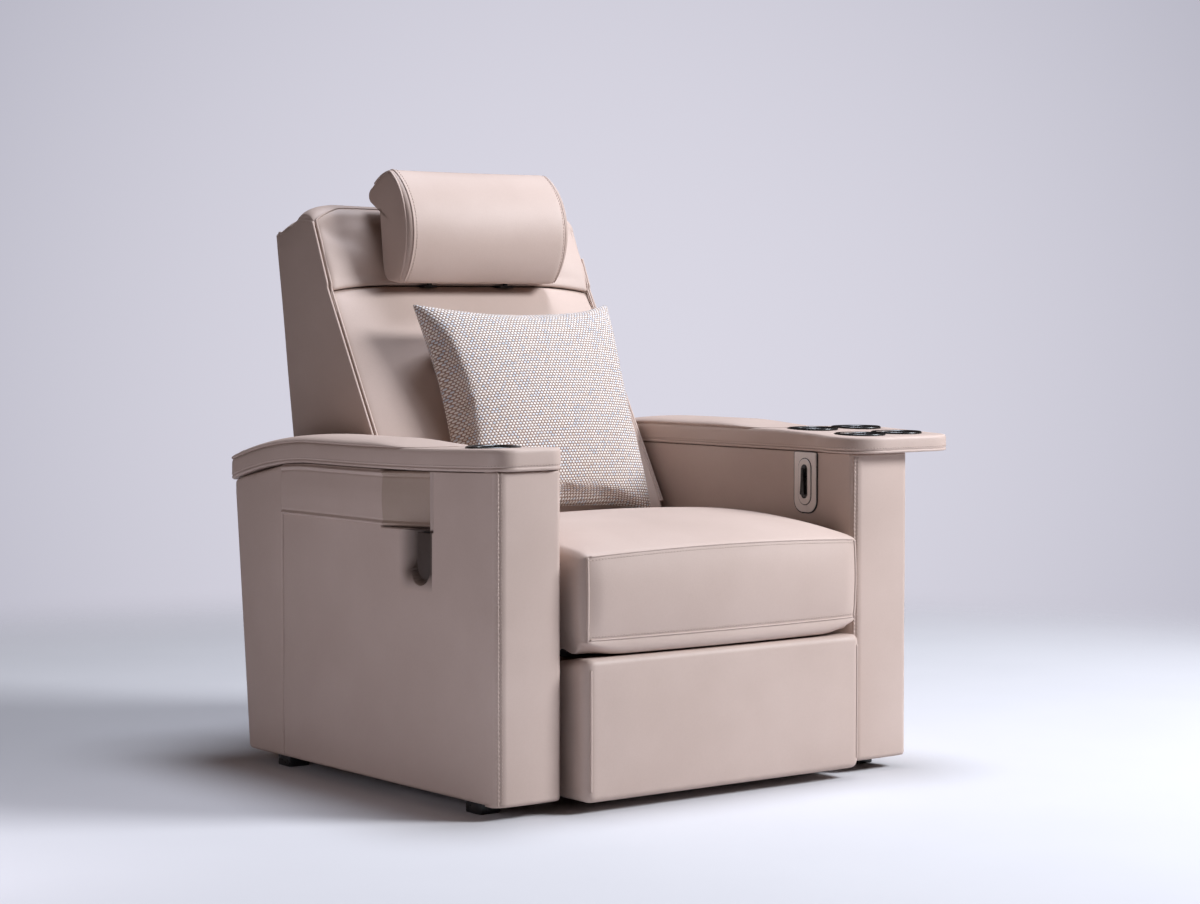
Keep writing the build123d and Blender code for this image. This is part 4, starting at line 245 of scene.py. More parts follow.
def leather_of(name, pale, deep, shine, painted_shade=None):
    """Leather between two colours, with the grain in its colour, gloss and skin. A painted shade (depth, reach, foot,
    head) darkens it from that depth backwards, between two heights, in object coordinates: shade painted into its
    colour."""
    made, tree = blank(name)
    skin = add(tree, 'ShaderNodeGroup', node_tree=grain)
    colour = ramp(tree, skin.outputs['Tone'], deep, pale, start=0.3, end=0.7)
    gloss = add(tree, 'ShaderNodeMapRange', {'Value': skin.outputs['Tone'],
                                             'To Min': shine + 0.06, 'To Max': shine - 0.06})
    bump = add(tree, 'ShaderNodeBump', {'Height': skin.outputs['Height'], 'Strength': 0.16, 'Distance': 0.0006})
    shown = colour.outputs['Color']
    if painted_shade:
        depth, reach, foot, head = painted_shade
        place = add(tree, 'ShaderNodeSeparateXYZ', {0: add(tree, 'ShaderNodeTexCoord').outputs['Object']})
        back = add(tree, 'ShaderNodeMapRange', {'Value': place.outputs['Y'],
                                                'From Min': depth, 'From Max': depth + reach,
                                                'To Min': 1.0, 'To Max': 0.0}, interpolation_type='SMOOTHSTEP')
        up = add(tree, 'ShaderNodeMapRange', {'Value': place.outputs['Z'],
                                              'From Min': foot - 0.012, 'From Max': foot + 0.02})
        down = add(tree, 'ShaderNodeMapRange', {'Value': place.outputs['Z'],
                                                'From Min': head, 'From Max': head + 0.004,
                                                'To Min': 1.0, 'To Max': 0.0})
        ahead = add(tree, 'ShaderNodeMath', {0: place.outputs['Y'], 1: depth - 0.070}, operation='GREATER_THAN')
        across = add(tree, 'ShaderNodeMath', {0: back.outputs['Result'], 1: ahead.outputs[0]}, operation='MULTIPLY')
        high = add(tree, 'ShaderNodeMath', {0: up.outputs['Result'], 1: down.outputs['Result']}, operation='MULTIPLY')
        mark = add(tree, 'ShaderNodeMath', {0: across.outputs[0], 1: high.outputs[0]}, operation='MULTIPLY')
        # Painted shade: a dark brown mixed into the colour where the mask is full.
        shaded_colour = add(tree, 'ShaderNodeMixRGB', {0: mark.outputs[0], 1: shown, 2: (0.11, 0.080, 0.066, 1)})
        shown = shaded_colour.outputs['Color']
    hide = add(tree, 'ShaderNodeBsdfPrincipled', {'Base Color': shown, 'Roughness': gloss.outputs['Result'],
                                                  'Specular IOR Level': 0.36, 'Normal': bump.outputs['Normal']})
    add(tree, 'ShaderNodeOutputMaterial', {'Surface': hide.outputs[0]})
    return made


TAUPE_PALE, TAUPE_DEEP, TAUPE_SHINE = (0.560, 0.442, 0.388), (0.505, 0.392, 0.340), 0.54
leather = leather_of("taupe_leather", TAUPE_PALE, TAUPE_DEEP, TAUPE_SHINE)
seams = {}
welts = {}
low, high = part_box("seat_cushion")
seat_middle = (low[0] + high[0]) / 2
arm_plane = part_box("left_arm_front_panel")[0][1]
GLIDE_SINK = 0.008


def at(x, d, z):
    """A point x from the seat's middle, d behind the arms' front plane, z above the drawing's base."""
    return Vector((seat_middle + x, arm_plane + d, z - GLIDE_SINK))


def ease(t):
    """0 to 1, level at both ends."""
    t = min(1.0, max(0.0, t))
    return t * t * (3 - 2 * t)


def rolled(e, radius):
    """How far a rolled edge of that radius falls away at e in from the edge."""
    if e >= radius:
        return 0.0
    return radius - math.sqrt(max(0.0, radius ** 2 - (radius - max(e, 0.0)) ** 2))


def spaced(*marks):
    """Positions through (value, step) marks, each run at its own mark's step."""
    out = []
    for (a, step), (b, _) in zip(marks, marks[1:]):
        count = max(1, round((b - a) / step))
        out += [a + (b - a) * k / count for k in range(count)]
    return out + [marks[-1][0]]


def made_up(name, points, faces):
    """A smooth closed piece from its points and faces, facing outwards."""
    mesh = bpy.data.meshes.new(name)
    mesh.from_pydata([tuple(p) for p in points], [], faces)
    work = bmesh.new()
    work.from_mesh(mesh)
    bmesh.ops.remove_doubles(work, verts=work.verts, dist=1e-6)
    bmesh.ops.recalc_face_normals(work, faces=work.faces)
    work.to_mesh(mesh)
    work.free()
    for face in mesh.polygons:
        face.use_smooth = True
    made = bpy.data.objects.new(name, mesh)
    scene.collection.objects.link(made)
    return made


def wear(piece, material, body, slot, *nodes):
    """The piece gets its material, moves with a body, and stands for these CAD nodes."""
    piece.data.materials.append(material)
    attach(piece, body)
    if nodes:
        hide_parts(*nodes)


def covered_board(name, columns, rows, place, proud, behind):
    """Leather over a board: a grid of columns and rows that stands proud(u, v) of it, closed behind."""
    n, m = len(columns), len(rows)
    points = [place(u, v, proud(u, v)) for v in rows for u in columns]
    faces = [(j * n + i, j * n + i + 1, (j + 1) * n + i + 1, (j + 1) * n + i)
             for j in range(m - 1) for i in range(n - 1)]
    rim = [(i, 0) for i in range(n)] + [(n - 1, j) for j in range(1, m)]
    rim += [(i, m - 1) for i in range(n - 2, -1, -1)] + [(0, j) for j in range(m - 2, 0, -1)]
    first = len(points)
    points += [place(columns[i], rows[j], behind) for i, j in rim]
    count = len(rim)
    for k, (i, j) in enumerate(rim):
        after = (k + 1) % count
        ni, nj = rim[after]
        faces.append((j * n + i, nj * n + ni, first + after, first + k))
    faces.append(tuple(range(first, first + count)))
    return made_up(name, points, faces)


def skinned(name, rings, inner=5):
    """A closed piece through rings of equal count; its two ends close with rings that shrink to the middle."""
    count = len(rings[0])

    def closing(ring):
        middle = sum(ring, Vector()) / count
        return [[p.lerp(middle, k / inner) for p in ring] for k in range(1, inner)]

    rings = closing(rings[0])[::-1] + rings + closing(rings[-1])
    points = [p for ring in rings for p in ring]
    faces = [(i * count + j, i * count + (j + 1) % count, (i + 1) * count + (j + 1) % count, (i + 1) * count + j)
             for i in range(len(rings) - 1) for j in range(count)]
    faces += [tuple(range(count)), tuple(range((len(rings) - 1) * count, len(rings) * count))]
    return made_up(name, points, faces)


def wander(x, y, z, size, depth):
    """Slow unevenness of a hand-pulled cover."""
    return depth * noise.noise(Vector((x / size, y / size, z / size)))


# The arms' side faces: leather pulled over thin padding on a board, outside and inside. The left outside
# has a scooped hand recess with a slot below it, where the leather dips softly in from behind; on that slope
# behind the slot, shade is painted into the leather's colour.
ARM_INNER, ARM_OUTER = 0.331, 0.465
ARM_FOOT, ARM_HEAD = 0.030, 0.590
SIDE_FRONT, SIDE_SEAM, SIDE_REAR = 0.010, 0.685, 0.825
SLOT_FRONT, SLOT_REAR, SLOT_FOOT, RECESS_REAR, RECESS_FOOT = 0.196, 0.261, 0.386, 0.350, 0.479


def under_cap(d, side=-1):
    """Height of an arm cap's underside: almost level, then falling in a curve to the rear. The left cap's filling
    has sagged a little behind its front end."""
    fall = 0.043 * (max(0.0, d - 0.58) / 0.29) ** 2
    if side > 0:
        return ARM_HEAD + 0.0045 - fall
    return ARM_HEAD - 0.001 - 0.0105 * (1 - (1 - min(max(d, 0.0), 0.5) / 0.5) ** 2) - fall


def recess(d, z):
    """Depth of the scooped recess and its slot at a point of the left arm's outside."""
    if z > RECESS_FOOT:
        inside = min(d - SLOT_FRONT, RECESS_REAR - d, z - RECESS_FOOT)
        return 0.052 * ease(inside / 0.003) if inside > 0 else 0.0
    middle, half = (SLOT_FRONT + SLOT_REAR) / 2, (SLOT_REAR - SLOT_FRONT) / 2
    bottom = SLOT_FOOT + half
    gap = half - (math.hypot(d - middle, z - bottom) if z < bottom else abs(d - middle))
    hollow = 0.0
    if gap > 0:
        hollow = 0.028 * ease(gap / 0.002)
    if d > middle and gap <= 0:
        hollow = 0.015 * (1 - ease(-gap / 0.030)) * ease((z - SLOT_FOOT) / 0.05)
    return hollow


# The left arm's outside wears a copy of the leather with painted shade on the slope behind the slot: darker from the
# slot's rear edge backwards, between the slot's foot and the recess's foot.
slot_shade_leather = leather_of("painted_slot_shade_leather", TAUPE_PALE, TAUPE_DEEP, TAUPE_SHINE,
                     (arm_plane + SLOT_REAR, 0.036, SLOT_FOOT - GLIDE_SINK, RECESS_FOOT - GLIDE_SINK))
for side, hand in ((-1, "left"), (1, "right")):
    for face, wall in (("outer", ARM_OUTER), ("inner", ARM_INNER)):
        out = 1 if face == "outer" else -1
        rear = SIDE_SEAM if face == "outer" else SIDE_REAR
        scooped = face == "outer" and side < 0
        sewn_front = (face == "outer") == (side < 0)
        front = SIDE_FRONT + (0.0 if sewn_front else 0.004)
        columns = spaced((front, 0.0015), (0.025, 0.010), (rear - 0.012, 0.0015), (rear, 1))
        if scooped:
            columns = spaced((front, 0.0015), (0.025, 0.010), (0.18, 0.0016), (0.30, 0.006), (0.346, 0.0015),
                             (0.354, 0.010), (rear - 0.012, 0.0015), (rear, 1))
        rows = spaced((0.0, 0.003), (0.03, 0.018), (0.62, 0.0030), (0.90, 0.010), (0.98, 0.003), (1.0, 1))

        def place(d, t, h, side=side, out=out, wall=wall):
            z = ARM_FOOT + t * (under_cap(d, side) - 0.0015 - ARM_FOOT)
            return at(side * (wall - out * 0.018 + out * h), d, z)

        def proud(d, t, scooped=scooped, front=front, rear=rear, side=side, sewn_front=sewn_front):
            z = ARM_FOOT + t * (under_cap(d, side) - ARM_FOOT)
            h = 0.018 - rolled(rear - d, 0.005) - rolled(z - ARM_FOOT, 0.009)
            h -= rolled(d - front, 0.006) if sewn_front else 0.0005
            h += 0.0007 + 0.0012 * ease(min(d - front, rear - d) / 0.1)
            h += wander(d, z, side, 0.16, 0.0012) * ease((d - 0.035) / 0.06)
            if scooped:
                h -= recess(d, z)
                roll = 0.014 if z > RECESS_FOOT else 0.006
                at_slot = SLOT_FRONT - roll < d < SLOT_FRONT and z > SLOT_FOOT + 0.02
                h -= rolled(SLOT_FRONT - d, roll) if at_slot else 0
            return max(h, -0.036)

        panel = covered_board(f"{hand}_arm_{face}_cover", columns, rows, place, proud, -0.037 if scooped else 0.001)
        nodes = [f"{hand}_arm_{face}_panel"] + (["release_cup"] if scooped else [])
        wear(panel, slot_shade_leather if scooped else leather, "base", "taupe_leather", *nodes)

# The arms' front faces: one padded panel on each arm, turned softly back at both edges. It runs on round one
# edge into the side face; at the other a puckered seam is sewn from outside.
for side, hand in ((-1, "left"), (1, "right")):
    middle, half = (ARM_INNER + ARM_OUTER) / 2, (ARM_OUTER - ARM_INNER) / 2
    head = under_cap(0.0, side) - 0.001

    def place(x, z, h, side=side):
        return at(side * x, SIDE_FRONT + 0.028 - h, z)

    def proud(x, z, side=side, middle=middle, half=half, head=head):
        sewn_edge = (x > middle) == (side < 0)
        e = half - abs(x - middle)
        turn = rolled(e + 0.0025, 0.021) if sewn_edge else rolled(e, 0.014)
        crown = 0.0025 * (1 - ((x - middle) / half) ** 2)
        ends = rolled(z - ARM_FOOT, 0.008) + rolled(head - z, 0.003)
        return 0.0375 + crown - turn - ends + wander(x, z, side, 0.12, 0.0008)

    columns = spaced((ARM_INNER, 0.0011), (ARM_INNER + 0.022, 0.006), (ARM_OUTER - 0.022, 0.0011), (ARM_OUTER, 1))
    rows = spaced((ARM_FOOT, 0.0015), (0.045, 0.014), (0.58, 0.002), (head, 1))
    panel = covered_board(f"{hand}_arm_front_cover", columns, rows, place, proud, 0.0)
    wear(panel, leather, "base", "taupe_leather", f"{hand}_arm_front_panel")
    edge, inward = (ARM_OUTER, -1) if side < 0 else (ARM_INNER, 1)
    cord = edge + inward * 0.0045
    line = [place(cord, z, proud(cord, z) - 0.0006) for z in spaced((0.034, 0.002), (0.588, 1))]
    welts.setdefault("base", []).append((line, 0.0021, 0.0075))
    seams.setdefault("base", []).append([place(edge + inward * 0.009, z, proud(edge + inward * 0.009, z) + 0.0003)
                                         for z in spaced((0.036, 0.006), (0.586, 1))])

# The arms' rear columns: leather wrapped round the back of each arm, closed to the side face with a sunk seam.
for side, hand in ((-1, "left"), (1, "right")):
    rings = []
    for t in spaced((0.0, 0.004), (0.02, 0.03), (0.98, 0.004), (1.0, 1)):
        rear = 0.825 + 0.046 * min(1.0, t * 1.05)
        shrink = rolled(min(t, 1 - t) * 0.54, 0.008)
        ring = []
        corners = ((ARM_OUTER - shrink, SIDE_SEAM + 0.003, 0.005), (ARM_OUTER - shrink, rear - shrink, 0.022),
                   (ARM_INNER + shrink, rear - shrink, 0.022), (ARM_INNER + shrink, SIDE_SEAM + 0.003, 0.005))
        turns = ((1, -1), (1, 1), (-1, 1), (-1, -1))
        for (x, d, r), (sx, sd) in zip(corners, turns):
            first = {(1, -1): -90, (1, 1): 0, (-1, 1): 90, (-1, -1): 180}[(sx, sd)]
            for k in range(9):
                a = math.radians(first + 90 * k / 8)
                px, pd = x - sx * r + r * math.cos(a), d - sd * r + r * math.sin(a)
                z = ARM_FOOT + t * (under_cap(pd, side) - 0.0015 - ARM_FOOT)
                ring.append(at(side * px, pd, z))
        rings.append(ring)
    column = skinned(f"{hand}_arm_rear_cover", rings)
    wear(column, leather, "base", "taupe_leather", f"{hand}_arm_rear_panel")

# The arm caps: a padded slab on each arm, its leather sewn round the edge with a seam just above a piped
# lower edge. The right cap widens at the front into a tray with rounded corners and a sloping top.
CAP_THICK = 0.038
CAP_EDGE = ((0.020, 0.0), (0.006, 0.0), (0.0022, 0.0005), (0.0006, 0.0018), (0.0, 0.0036), (0.0004, 0.0054),
            (0.0017, 0.0064), (0.0017, 0.0070), (0.0005, 0.0082), (0.0002, 0.0120), (0.0002, 0.0220),
            (0.0003, 0.0302), (0.0008, 0.0336), (0.0020, 0.0361), (0.0038, 0.0374), (0.0064, 0.0380),
            (0.0240, 0.0382))
CAP_ROWS = 8


def slab(name, stations, inside, outside, edge, lift):
    """A flat pad between two side lines, inside(d) and outside(d), over stations of depth; edge is its rim's
    (inset, height) steps from below to above, and lift(x, d, z) sets a height for each point."""
    n = len(stations)
    grid = [[Vector((inside(d) + (outside(d) - inside(d)) * k / CAP_ROWS, d)) for k in range(CAP_ROWS + 1)]
            for d in stations]
    loop = [(0, k) for k in range(CAP_ROWS + 1)] + [(i, CAP_ROWS) for i in range(1, n)]
    loop += [(n - 1, k) for k in range(CAP_ROWS - 1, -1, -1)] + [(i, 0) for i in range(n - 2, 0, -1)]
    count = len(loop)
    line = [grid[i][k] for i, k in loop]
    inward = []
    for k in range(count):
        along = (line[(k + 1) % count] - line[k - 1]).normalized()
        inward.append(Vector((-along.y, along.x)))
    middle = sum(line, Vector((0, 0))) / count
    if sum((middle - p).dot(w) for p, w in zip(line, inward)) < 0:
        inward = [-w for w in inward]
    points, faces = [], []
    for inset, z in edge:
        for p, w in zip(line, inward):
            q = p + w * inset
            points.append(at(q.x, q.y, lift(q.x, q.y, z)))
    for i in range(len(edge) - 1):
        for k in range(count):
            after = (k + 1) % count
            faces.append((i * count + k, i * count + after, (i + 1) * count + after, (i + 1) * count + k))
    for level in (0, len(edge) - 1):
        inset, z = edge[level]
        where = {}
        for k, spot in enumerate(loop):
            where[spot] = level * count + k
        for i in range(1, n - 1):
            a = line[loop.index((i, 0))] + inward[loop.index((i, 0))] * inset
            b = line[loop.index((i, CAP_ROWS))] + inward[loop.index((i, CAP_ROWS))] * inset
            for k in range(1, CAP_ROWS):
                q = a.lerp(b, k / CAP_ROWS)
                where[(i, k)] = len(points)
                points.append(at(q.x, q.y, lift(q.x, q.y, z)))
        for i in range(n - 1):
            for k in range(CAP_ROWS):
                faces.append((where[(i, k)], where[(i, k + 1)], where[(i + 1, k + 1)], where[(i + 1, k)]))
    return made_up(name, points, faces), line, inward


def turned(front, radius, rear, rear_radius, step):
    """Stations from front to rear, close together through the two rounded ends."""
    first = [front + radius * (1 - math.cos(math.radians(a))) for a in range(0, 90, 10)]
    last = [rear - rear_radius * (1 - math.cos(math.radians(a))) for a in range(80, -1, -10)]
    return first + spaced((front + radius, step), (rear - rear_radius, step)) + last


caps = {}


def tray_fall(d, side):
    """How far the tray's top slopes down to its front."""
    return 0.008 * (1 - ease(d / 0.24)) if side > 0 else 0.0


for side, hand, nose, inner_r, outer_r in ((-1, "left", -0.010, 0.032, 0.040), (1, "right", -0.025, 0.070, 0.070)):
    rear = 0.878

    def tray(d, side=side):
        """The outer side line before its corners are rounded."""
        return 0.469 + (0.109 * (1 - ease((d - 0.175) / 0.150)) if side > 0 else 0.0)

    def inside(d, side=side, nose=nose, inner_r=inner_r, rear=rear):
        flare = 0.011 * (1 - ease((d - 0.060) / 0.05)) if side > 0 else 0.0
        return side * (0.327 - flare + rolled(d - nose, inner_r) + rolled(rear - d, 0.020))

    def outside(d, side=side, nose=nose, outer_r=outer_r, rear=rear):
        return side * (tray(d) - rolled(d - nose, outer_r) - rolled(rear - d, 0.020))

    def lift(x, d, z, side=side):
        return z + under_cap(d, side) - tray_fall(d, side) * max(0.0, z) / CAP_THICK

    stations = turned(nose, max(inner_r, outer_r), rear, 0.020, 0.010)
    cap, line, inward = slab(f"{hand}_arm_cap_cover", stations, inside, outside, CAP_EDGE, lift)
    caps[side] = cap
    wear(cap, leather, "base", "taupe_leather", f"{hand}_arm_cap")
    around = line + line[:1]
    seams["base"].append([at(p.x, p.y, 0.0098 + under_cap(p.y, side)) for p in around])

# The elbow pads: a long soft pad on each cap, from behind the cups to the back, tapering out at its front.
PAD_EDGE = ((0.012, -0.0050), (0.0052, -0.0046), (0.0044, -0.0026), (0.0034, -0.0010),
            (0.0014, 0.0004), (0.0002, 0.0020),
            (0.0, 0.0034), (0.0012, 0.0050), (0.0040, 0.0068), (0.0090, 0.0082), (0.0160, 0.0091), (0.0240, 0.0096),
            (0.0320, 0.0098))
for side, hand in ((-1, "left"), (1, "right")):
    front, rear = 0.244, 0.876

    def inside(d, side=side, front=front, rear=rear):
        return side * (0.3285 + rolled(d - front, 0.055) + rolled(rear - d, 0.012))

    def outside(d, side=side, front=front, rear=rear):
        return side * (0.4675 - rolled(d - front, 0.055) - rolled(rear - d, 0.012))

    def lift(x, d, z, front=front, side=side):
        thin = 0.20 + 0.80 * ease((d - front) / 0.16)
        crown = 0.0036 * max(0.0, 1 - ((abs(x) - 0.398) / 0.068) ** 2) if z > 0.0 else 0.0
        return under_cap(d, side) + CAP_THICK - 0.0004 + (z + crown) * (thin if z > 0 else 1.0)

    stations = turned(front, 0.055, rear, 0.012, 0.012)
    pad, line, inward = slab(f"{hand}_elbow_pad_cover", stations, inside, outside, PAD_EDGE, lift)
    wear(pad, leather, "base", "taupe_leather", f"{hand}_elbow_pad")

# The side band: a strip of leather over foam along the top of the left arm's outside, rolled along both
# edges. Ahead of the recess it turns inward, so that fingers reach behind it. That inturned end is a separate
# piece in a darker copy of the leather: painted shade for the recess it turns into.
BAND_FOOT, BAND_HEAD, BAND_BEND, BAND_FRONT = 0.481, 0.5865, 0.340, 0.200


def band_face(d):
    """The band's outer face: straight along the arm, then turning in towards its front end."""
    turn = max(0.0, (BAND_BEND - d) / (BAND_BEND - BAND_FRONT))
    return 0.4700 - 0.050 * turn ** 1.1


def place(d, t, h):
    head = min(BAND_HEAD, under_cap(d) - 0.003)
    return at(-(band_face(d) - 0.006 + h), d, BAND_FOOT + t * (head - BAND_FOOT))


def proud(d, t):
    e = min(t, 1 - t) * 0.105
    lip = 0.0022 * math.exp(-((e - 0.0045) / 0.0028) ** 2) - 0.0012 * math.exp(-((e - 0.0105) / 0.0022) ** 2)
    swell = 0.0018 * ease((e - 0.012) / 0.035)
    return 0.006 - rolled(e, 0.0045) - rolled(0.684 - d, 0.005) - rolled(d - BAND_FRONT, 0.003) + lip + swell


rows = spaced((0.0, 0.010), (0.15, 0.04), (0.85, 0.010), (1.0, 1))
columns = spaced((BAND_BEND - 0.001, 0.0015), (0.346, 0.010), (0.675, 0.0015), (0.684, 1))
band = covered_board("left_side_band_cover", columns, rows, place, proud, 0.0005)
wear(band, leather, "base", "taupe_leather", "left_side_band")
columns = spaced((BAND_FRONT, 0.001), (0.205, 0.004), (0.33, 0.0015), (BAND_BEND + 0.001, 1))
band_end = covered_board("left_side_band_end", columns, rows, place, proud, 0.0005)
# A darker copy of the leather for the band's inturned end: painted shade.
band_end_shade_leather = leather_of("shaded_leather", (0.430, 0.330, 0.270), (0.380, 0.285, 0.230), 0.5)
wear(band_end, band_end_shade_leather, "base", "taupe_leather")

# The cups and coasters: black moulded liners with a smooth rolled rim, pressed into round holes in the caps.
# The cups are deep, the tray's two coasters shallow with a ring raised in the floor.
black, tree = blank("black_plastic")
spot = add(tree, 'ShaderNodeTexCoord').outputs['Object']
haze = add(tree, 'ShaderNodeTexNoise', {'Vector': spot, 'Scale': 45.0, 'Detail': 5.0, 'Roughness': 0.7})
swirl = add(tree, 'ShaderNodeTexNoise', {'Vector': spot, 'Scale': 700.0, 'Detail': 2.0})
jet = ramp(tree, haze.outputs['Fac'], (0.0045, 0.0045, 0.005), (0.011, 0.011, 0.012))
wipe = add(tree, 'ShaderNodeMapRange', {'Value': haze.outputs['Fac'], 'To Min': 0.20, 'To Max': 0.36})
pit = add(tree, 'ShaderNodeBump', {'Height': swirl.outputs['Fac'], 'Strength': 0.08, 'Distance': 0.0002})
shell = add(tree, 'ShaderNodeBsdfPrincipled', {'Base Color': jet.outputs['Color'],
                                               'Roughness': wipe.outputs['Result'],
                                               'Normal': pit.outputs['Normal']})
add(tree, 'ShaderNodeOutputMaterial', {'Surface': shell.outputs[0]})


def lathed(name, centres, profile, turns=56):
    """Closed rings turned from a profile of (radius, height over the rim) about upright axes at these centres."""
    points, faces = [], []
    count = len(profile)
    for centre in centres:
        first = len(points)
        for k in range(turns):
            a = 2 * math.pi * k / turns
            for r, z in profile:
                points.append(at(centre[0] + r * math.cos(a), centre[1] + r * math.sin(a), centre[2] + z))
        for k in range(turns):
            for i in range(count):
                b, j = (k + 1) % turns, (i + 1) % count
                faces.append((first + k * count + i, first + k * count + j,
                              first + b * count + j, first + b * count + i))
    return made_up(name, points, faces)


def in_cap(side, x, d):
    """Where a liner's middle stands on the top of a cap."""
    return side * x, d, under_cap(d, side) + CAP_THICK - tray_fall(d, side)


cup = [(0.0003, -0.0700), (0.0200, -0.0700), (0.0345, -0.0700), (0.0375, -0.0685),
       (0.0385, -0.0650), (0.0385, -0.0080), (0.0390, -0.0030), (0.0402, 0.0008),
       (0.0420, 0.0030), (0.0440, 0.0036), (0.0462, 0.0030), (0.0476, 0.0016),
       (0.0480, 0.0002), (0.0476, -0.0004), (0.0412, -0.0004), (0.0405, -0.0060),
       (0.0405, -0.0690), (0.0390, -0.0715), (0.0003, -0.0718)]


def bored(piece, centre, radius, depth):
    """Sinks a round hole into the top of a piece."""
    count = 56
    turn = [2 * math.pi * k / count for k in range(count)]
    points = [at(centre[0] + radius * math.cos(a), centre[1] + radius * math.sin(a), centre[2] + z)
              for z in (-depth, 0.02) for a in turn]
    faces = [(k, (k + 1) % count, count + (k + 1) % count, count + k) for k in range(count)]
    faces += [tuple(range(count))[::-1], tuple(range(count, 2 * count))]
    drill = made_up("drill", points, faces)
    work = bmesh.new()
    work.from_mesh(piece.data)
    bmesh.ops.triangulate(work, faces=work.faces)
    work.to_mesh(piece.data)
    work.free()
    cut = piece.modifiers.new("bore", 'BOOLEAN')
    cut.operation, cut.solver, cut.object = 'DIFFERENCE', 'EXACT', drill
    bpy.context.view_layer.update()
    holed = bpy.data.meshes.new_from_object(piece.evaluated_get(bpy.context.evaluated_depsgraph_get()))
    piece.modifiers.remove(cut)
    piece.data = holed
    bpy.data.objects.remove(drill)


HOLE_R, CUP_HOLE, COASTER_HOLE = 0.0407, 0.0725, 0.0203
left_places = [in_cap(-1, 0.398, 0.107)]
cup_places = [in_cap(1, 0.398, 0.060), in_cap(1, 0.398, 0.190)]
coaster_places = [in_cap(1, 0.500, 0.070), in_cap(1, 0.508, 0.190)]
for side, places, sunk in ((-1, left_places, CUP_HOLE), (1, cup_places, CUP_HOLE),
                           (1, coaster_places, COASTER_HOLE)):
    for middle in places:
        bored(caps[side], middle, HOLE_R, sunk)
left_cup = lathed("left_cup_liner", left_places, cup)
wear(left_cup, black, "base", "black_plastic", "left_cup_holder")
right_cups = lathed("right_cup_liners", cup_places, cup)
wear(right_cups, black, "base", "black_plastic", "right_cup_holders")
well = [(0.0003, -0.0182), (0.0210, -0.0182), (0.0220, -0.0172), (0.0236, -0.0172),
        (0.0246, -0.0182), (0.0350, -0.0182), (0.0378, -0.0168), (0.0386, -0.0130),
        (0.0390, -0.0030), (0.0402, 0.0008), (0.0420, 0.0030), (0.0440, 0.0036),
        (0.0462, 0.0030), (0.0476, 0.0016), (0.0480, 0.0002), (0.0476, -0.0004),
        (0.0412, -0.0004), (0.0405, -0.0060), (0.0400, -0.0190), (0.0003, -0.0198)]
coasters = lathed("right_coaster_liners", coaster_places, well)
wear(coasters, black, "base", "black_plastic", "right_coasters")

# The glides: four black moulded feet, eased at their edges, screwed up into the arms' bottoms.


def moulding(name, outlines, ease_by, steps=4):
    """Closed prisms from (outline, near, far, way) with both ends eased; way(a, b, c) places outline and height."""
    points, faces = [], []
    for outline, near, far, way in outlines:
        count = len(outline)
        middle = sum((Vector(p) for p in outline), Vector((0, 0))) / count
        levels = []
        for k in range(steps + 1):
            a = math.radians(90 * k / steps)
            levels.append((ease_by * (1 - math.sin(a)), near + ease_by * (1 - math.cos(a))))
        levels += [(inset, far + near - c) for inset, c in levels[::-1]]
        first = len(points)
        for inset, c in levels:
            for p in outline:
                toward = middle - Vector(p)
                q = Vector(p) + toward.normalized() * min(inset, toward.length)
                points.append(way(q.x, q.y, c))
        for i in range(len(levels) - 1):
            for k in range(count):
                b = (k + 1) % count
                faces.append((first + i * count + k, first + i * count + b, first + (i + 1) * count + b,
                              first + (i + 1) * count + k))
        faces.append(tuple(range(first, first + count)))
        faces.append(tuple(range(first + (len(levels) - 1) * count, first + len(levels) * count)))
    return made_up(name, points, faces)


def rounded(a0, a1, b0, b1, radii, steps=6):
    """Outline of a rectangle with its own radius at each corner, from (a0, b0) round to (a0, b1)."""
    corners = ((a0, b0, 1, 1, 180), (a1, b0, -1, 1, 270), (a1, b1, -1, -1, 0), (a0, b1, 1, -1, 90))
    out = []
    for (a, b, sa, sb, turn), r in zip(corners, radii):
        for k in range(steps + 1):
            t = math.radians(turn + 90 * k / steps)
            out.append((a + sa * r + r * math.cos(t), b + sb * r + r * math.sin(t)))
    return out


feet = []
for x0, x1, d0, d1 in ((0.405, 0.450, 0.075, 0.120), (0.405, 0.450, 0.690, 0.735)):
    for side in (-1, 1):
        feet.append((rounded(x0, x1, d0, d1, (0.006,) * 4), GLIDE_SINK, 0.030,
                     lambda a, b, c, side=side: at(side * a, b, c)))
glides = moulding("glide_moulding", feet, 0.0025)
wear(glides, black, "base", "black_plastic", "glide_feet")

# The control: a champagne plate on the right arm's inner face, square at the top and round below, with a
# raised oval frame and a tapered black lever that rocks in it. A dark gasket shows round both.
champagne, tree = blank("champagne_metal")
spot = add(tree, 'ShaderNodeTexCoord').outputs['Object']
stretched = add(tree, 'ShaderNodeMapping', {'Vector': spot, 'Scale': (900.0, 900.0, 30.0)})
brushed = add(tree, 'ShaderNodeTexNoise', {'Vector': stretched.outputs['Vector'], 'Scale': 1.0, 'Detail': 4.0})
gold = ramp(tree, brushed.outputs['Fac'], (0.66, 0.60, 0.56), (0.78, 0.71, 0.665))
satin = add(tree, 'ShaderNodeMapRange', {'Value': brushed.outputs['Fac'], 'To Min': 0.34, 'To Max': 0.52})
brush_bump = add(tree, 'ShaderNodeBump', {'Height': brushed.outputs['Fac'], 'Strength': 0.10, 'Distance': 0.0002})
plated = add(tree, 'ShaderNodeBsdfPrincipled', {'Base Color': gold.outputs['Color'], 'Metallic': 0.15,
                                                'Roughness': satin.outputs['Result'],
                                                'Normal': brush_bump.outputs['Normal']})
add(tree, 'ShaderNodeOutputMaterial', {'Surface': plated.outputs[0]})


def on_inner_face(a, b, c):
    """Depth a, height b, and c inward from the right arm's inner face."""
    return at(ARM_INNER - c, a, b)


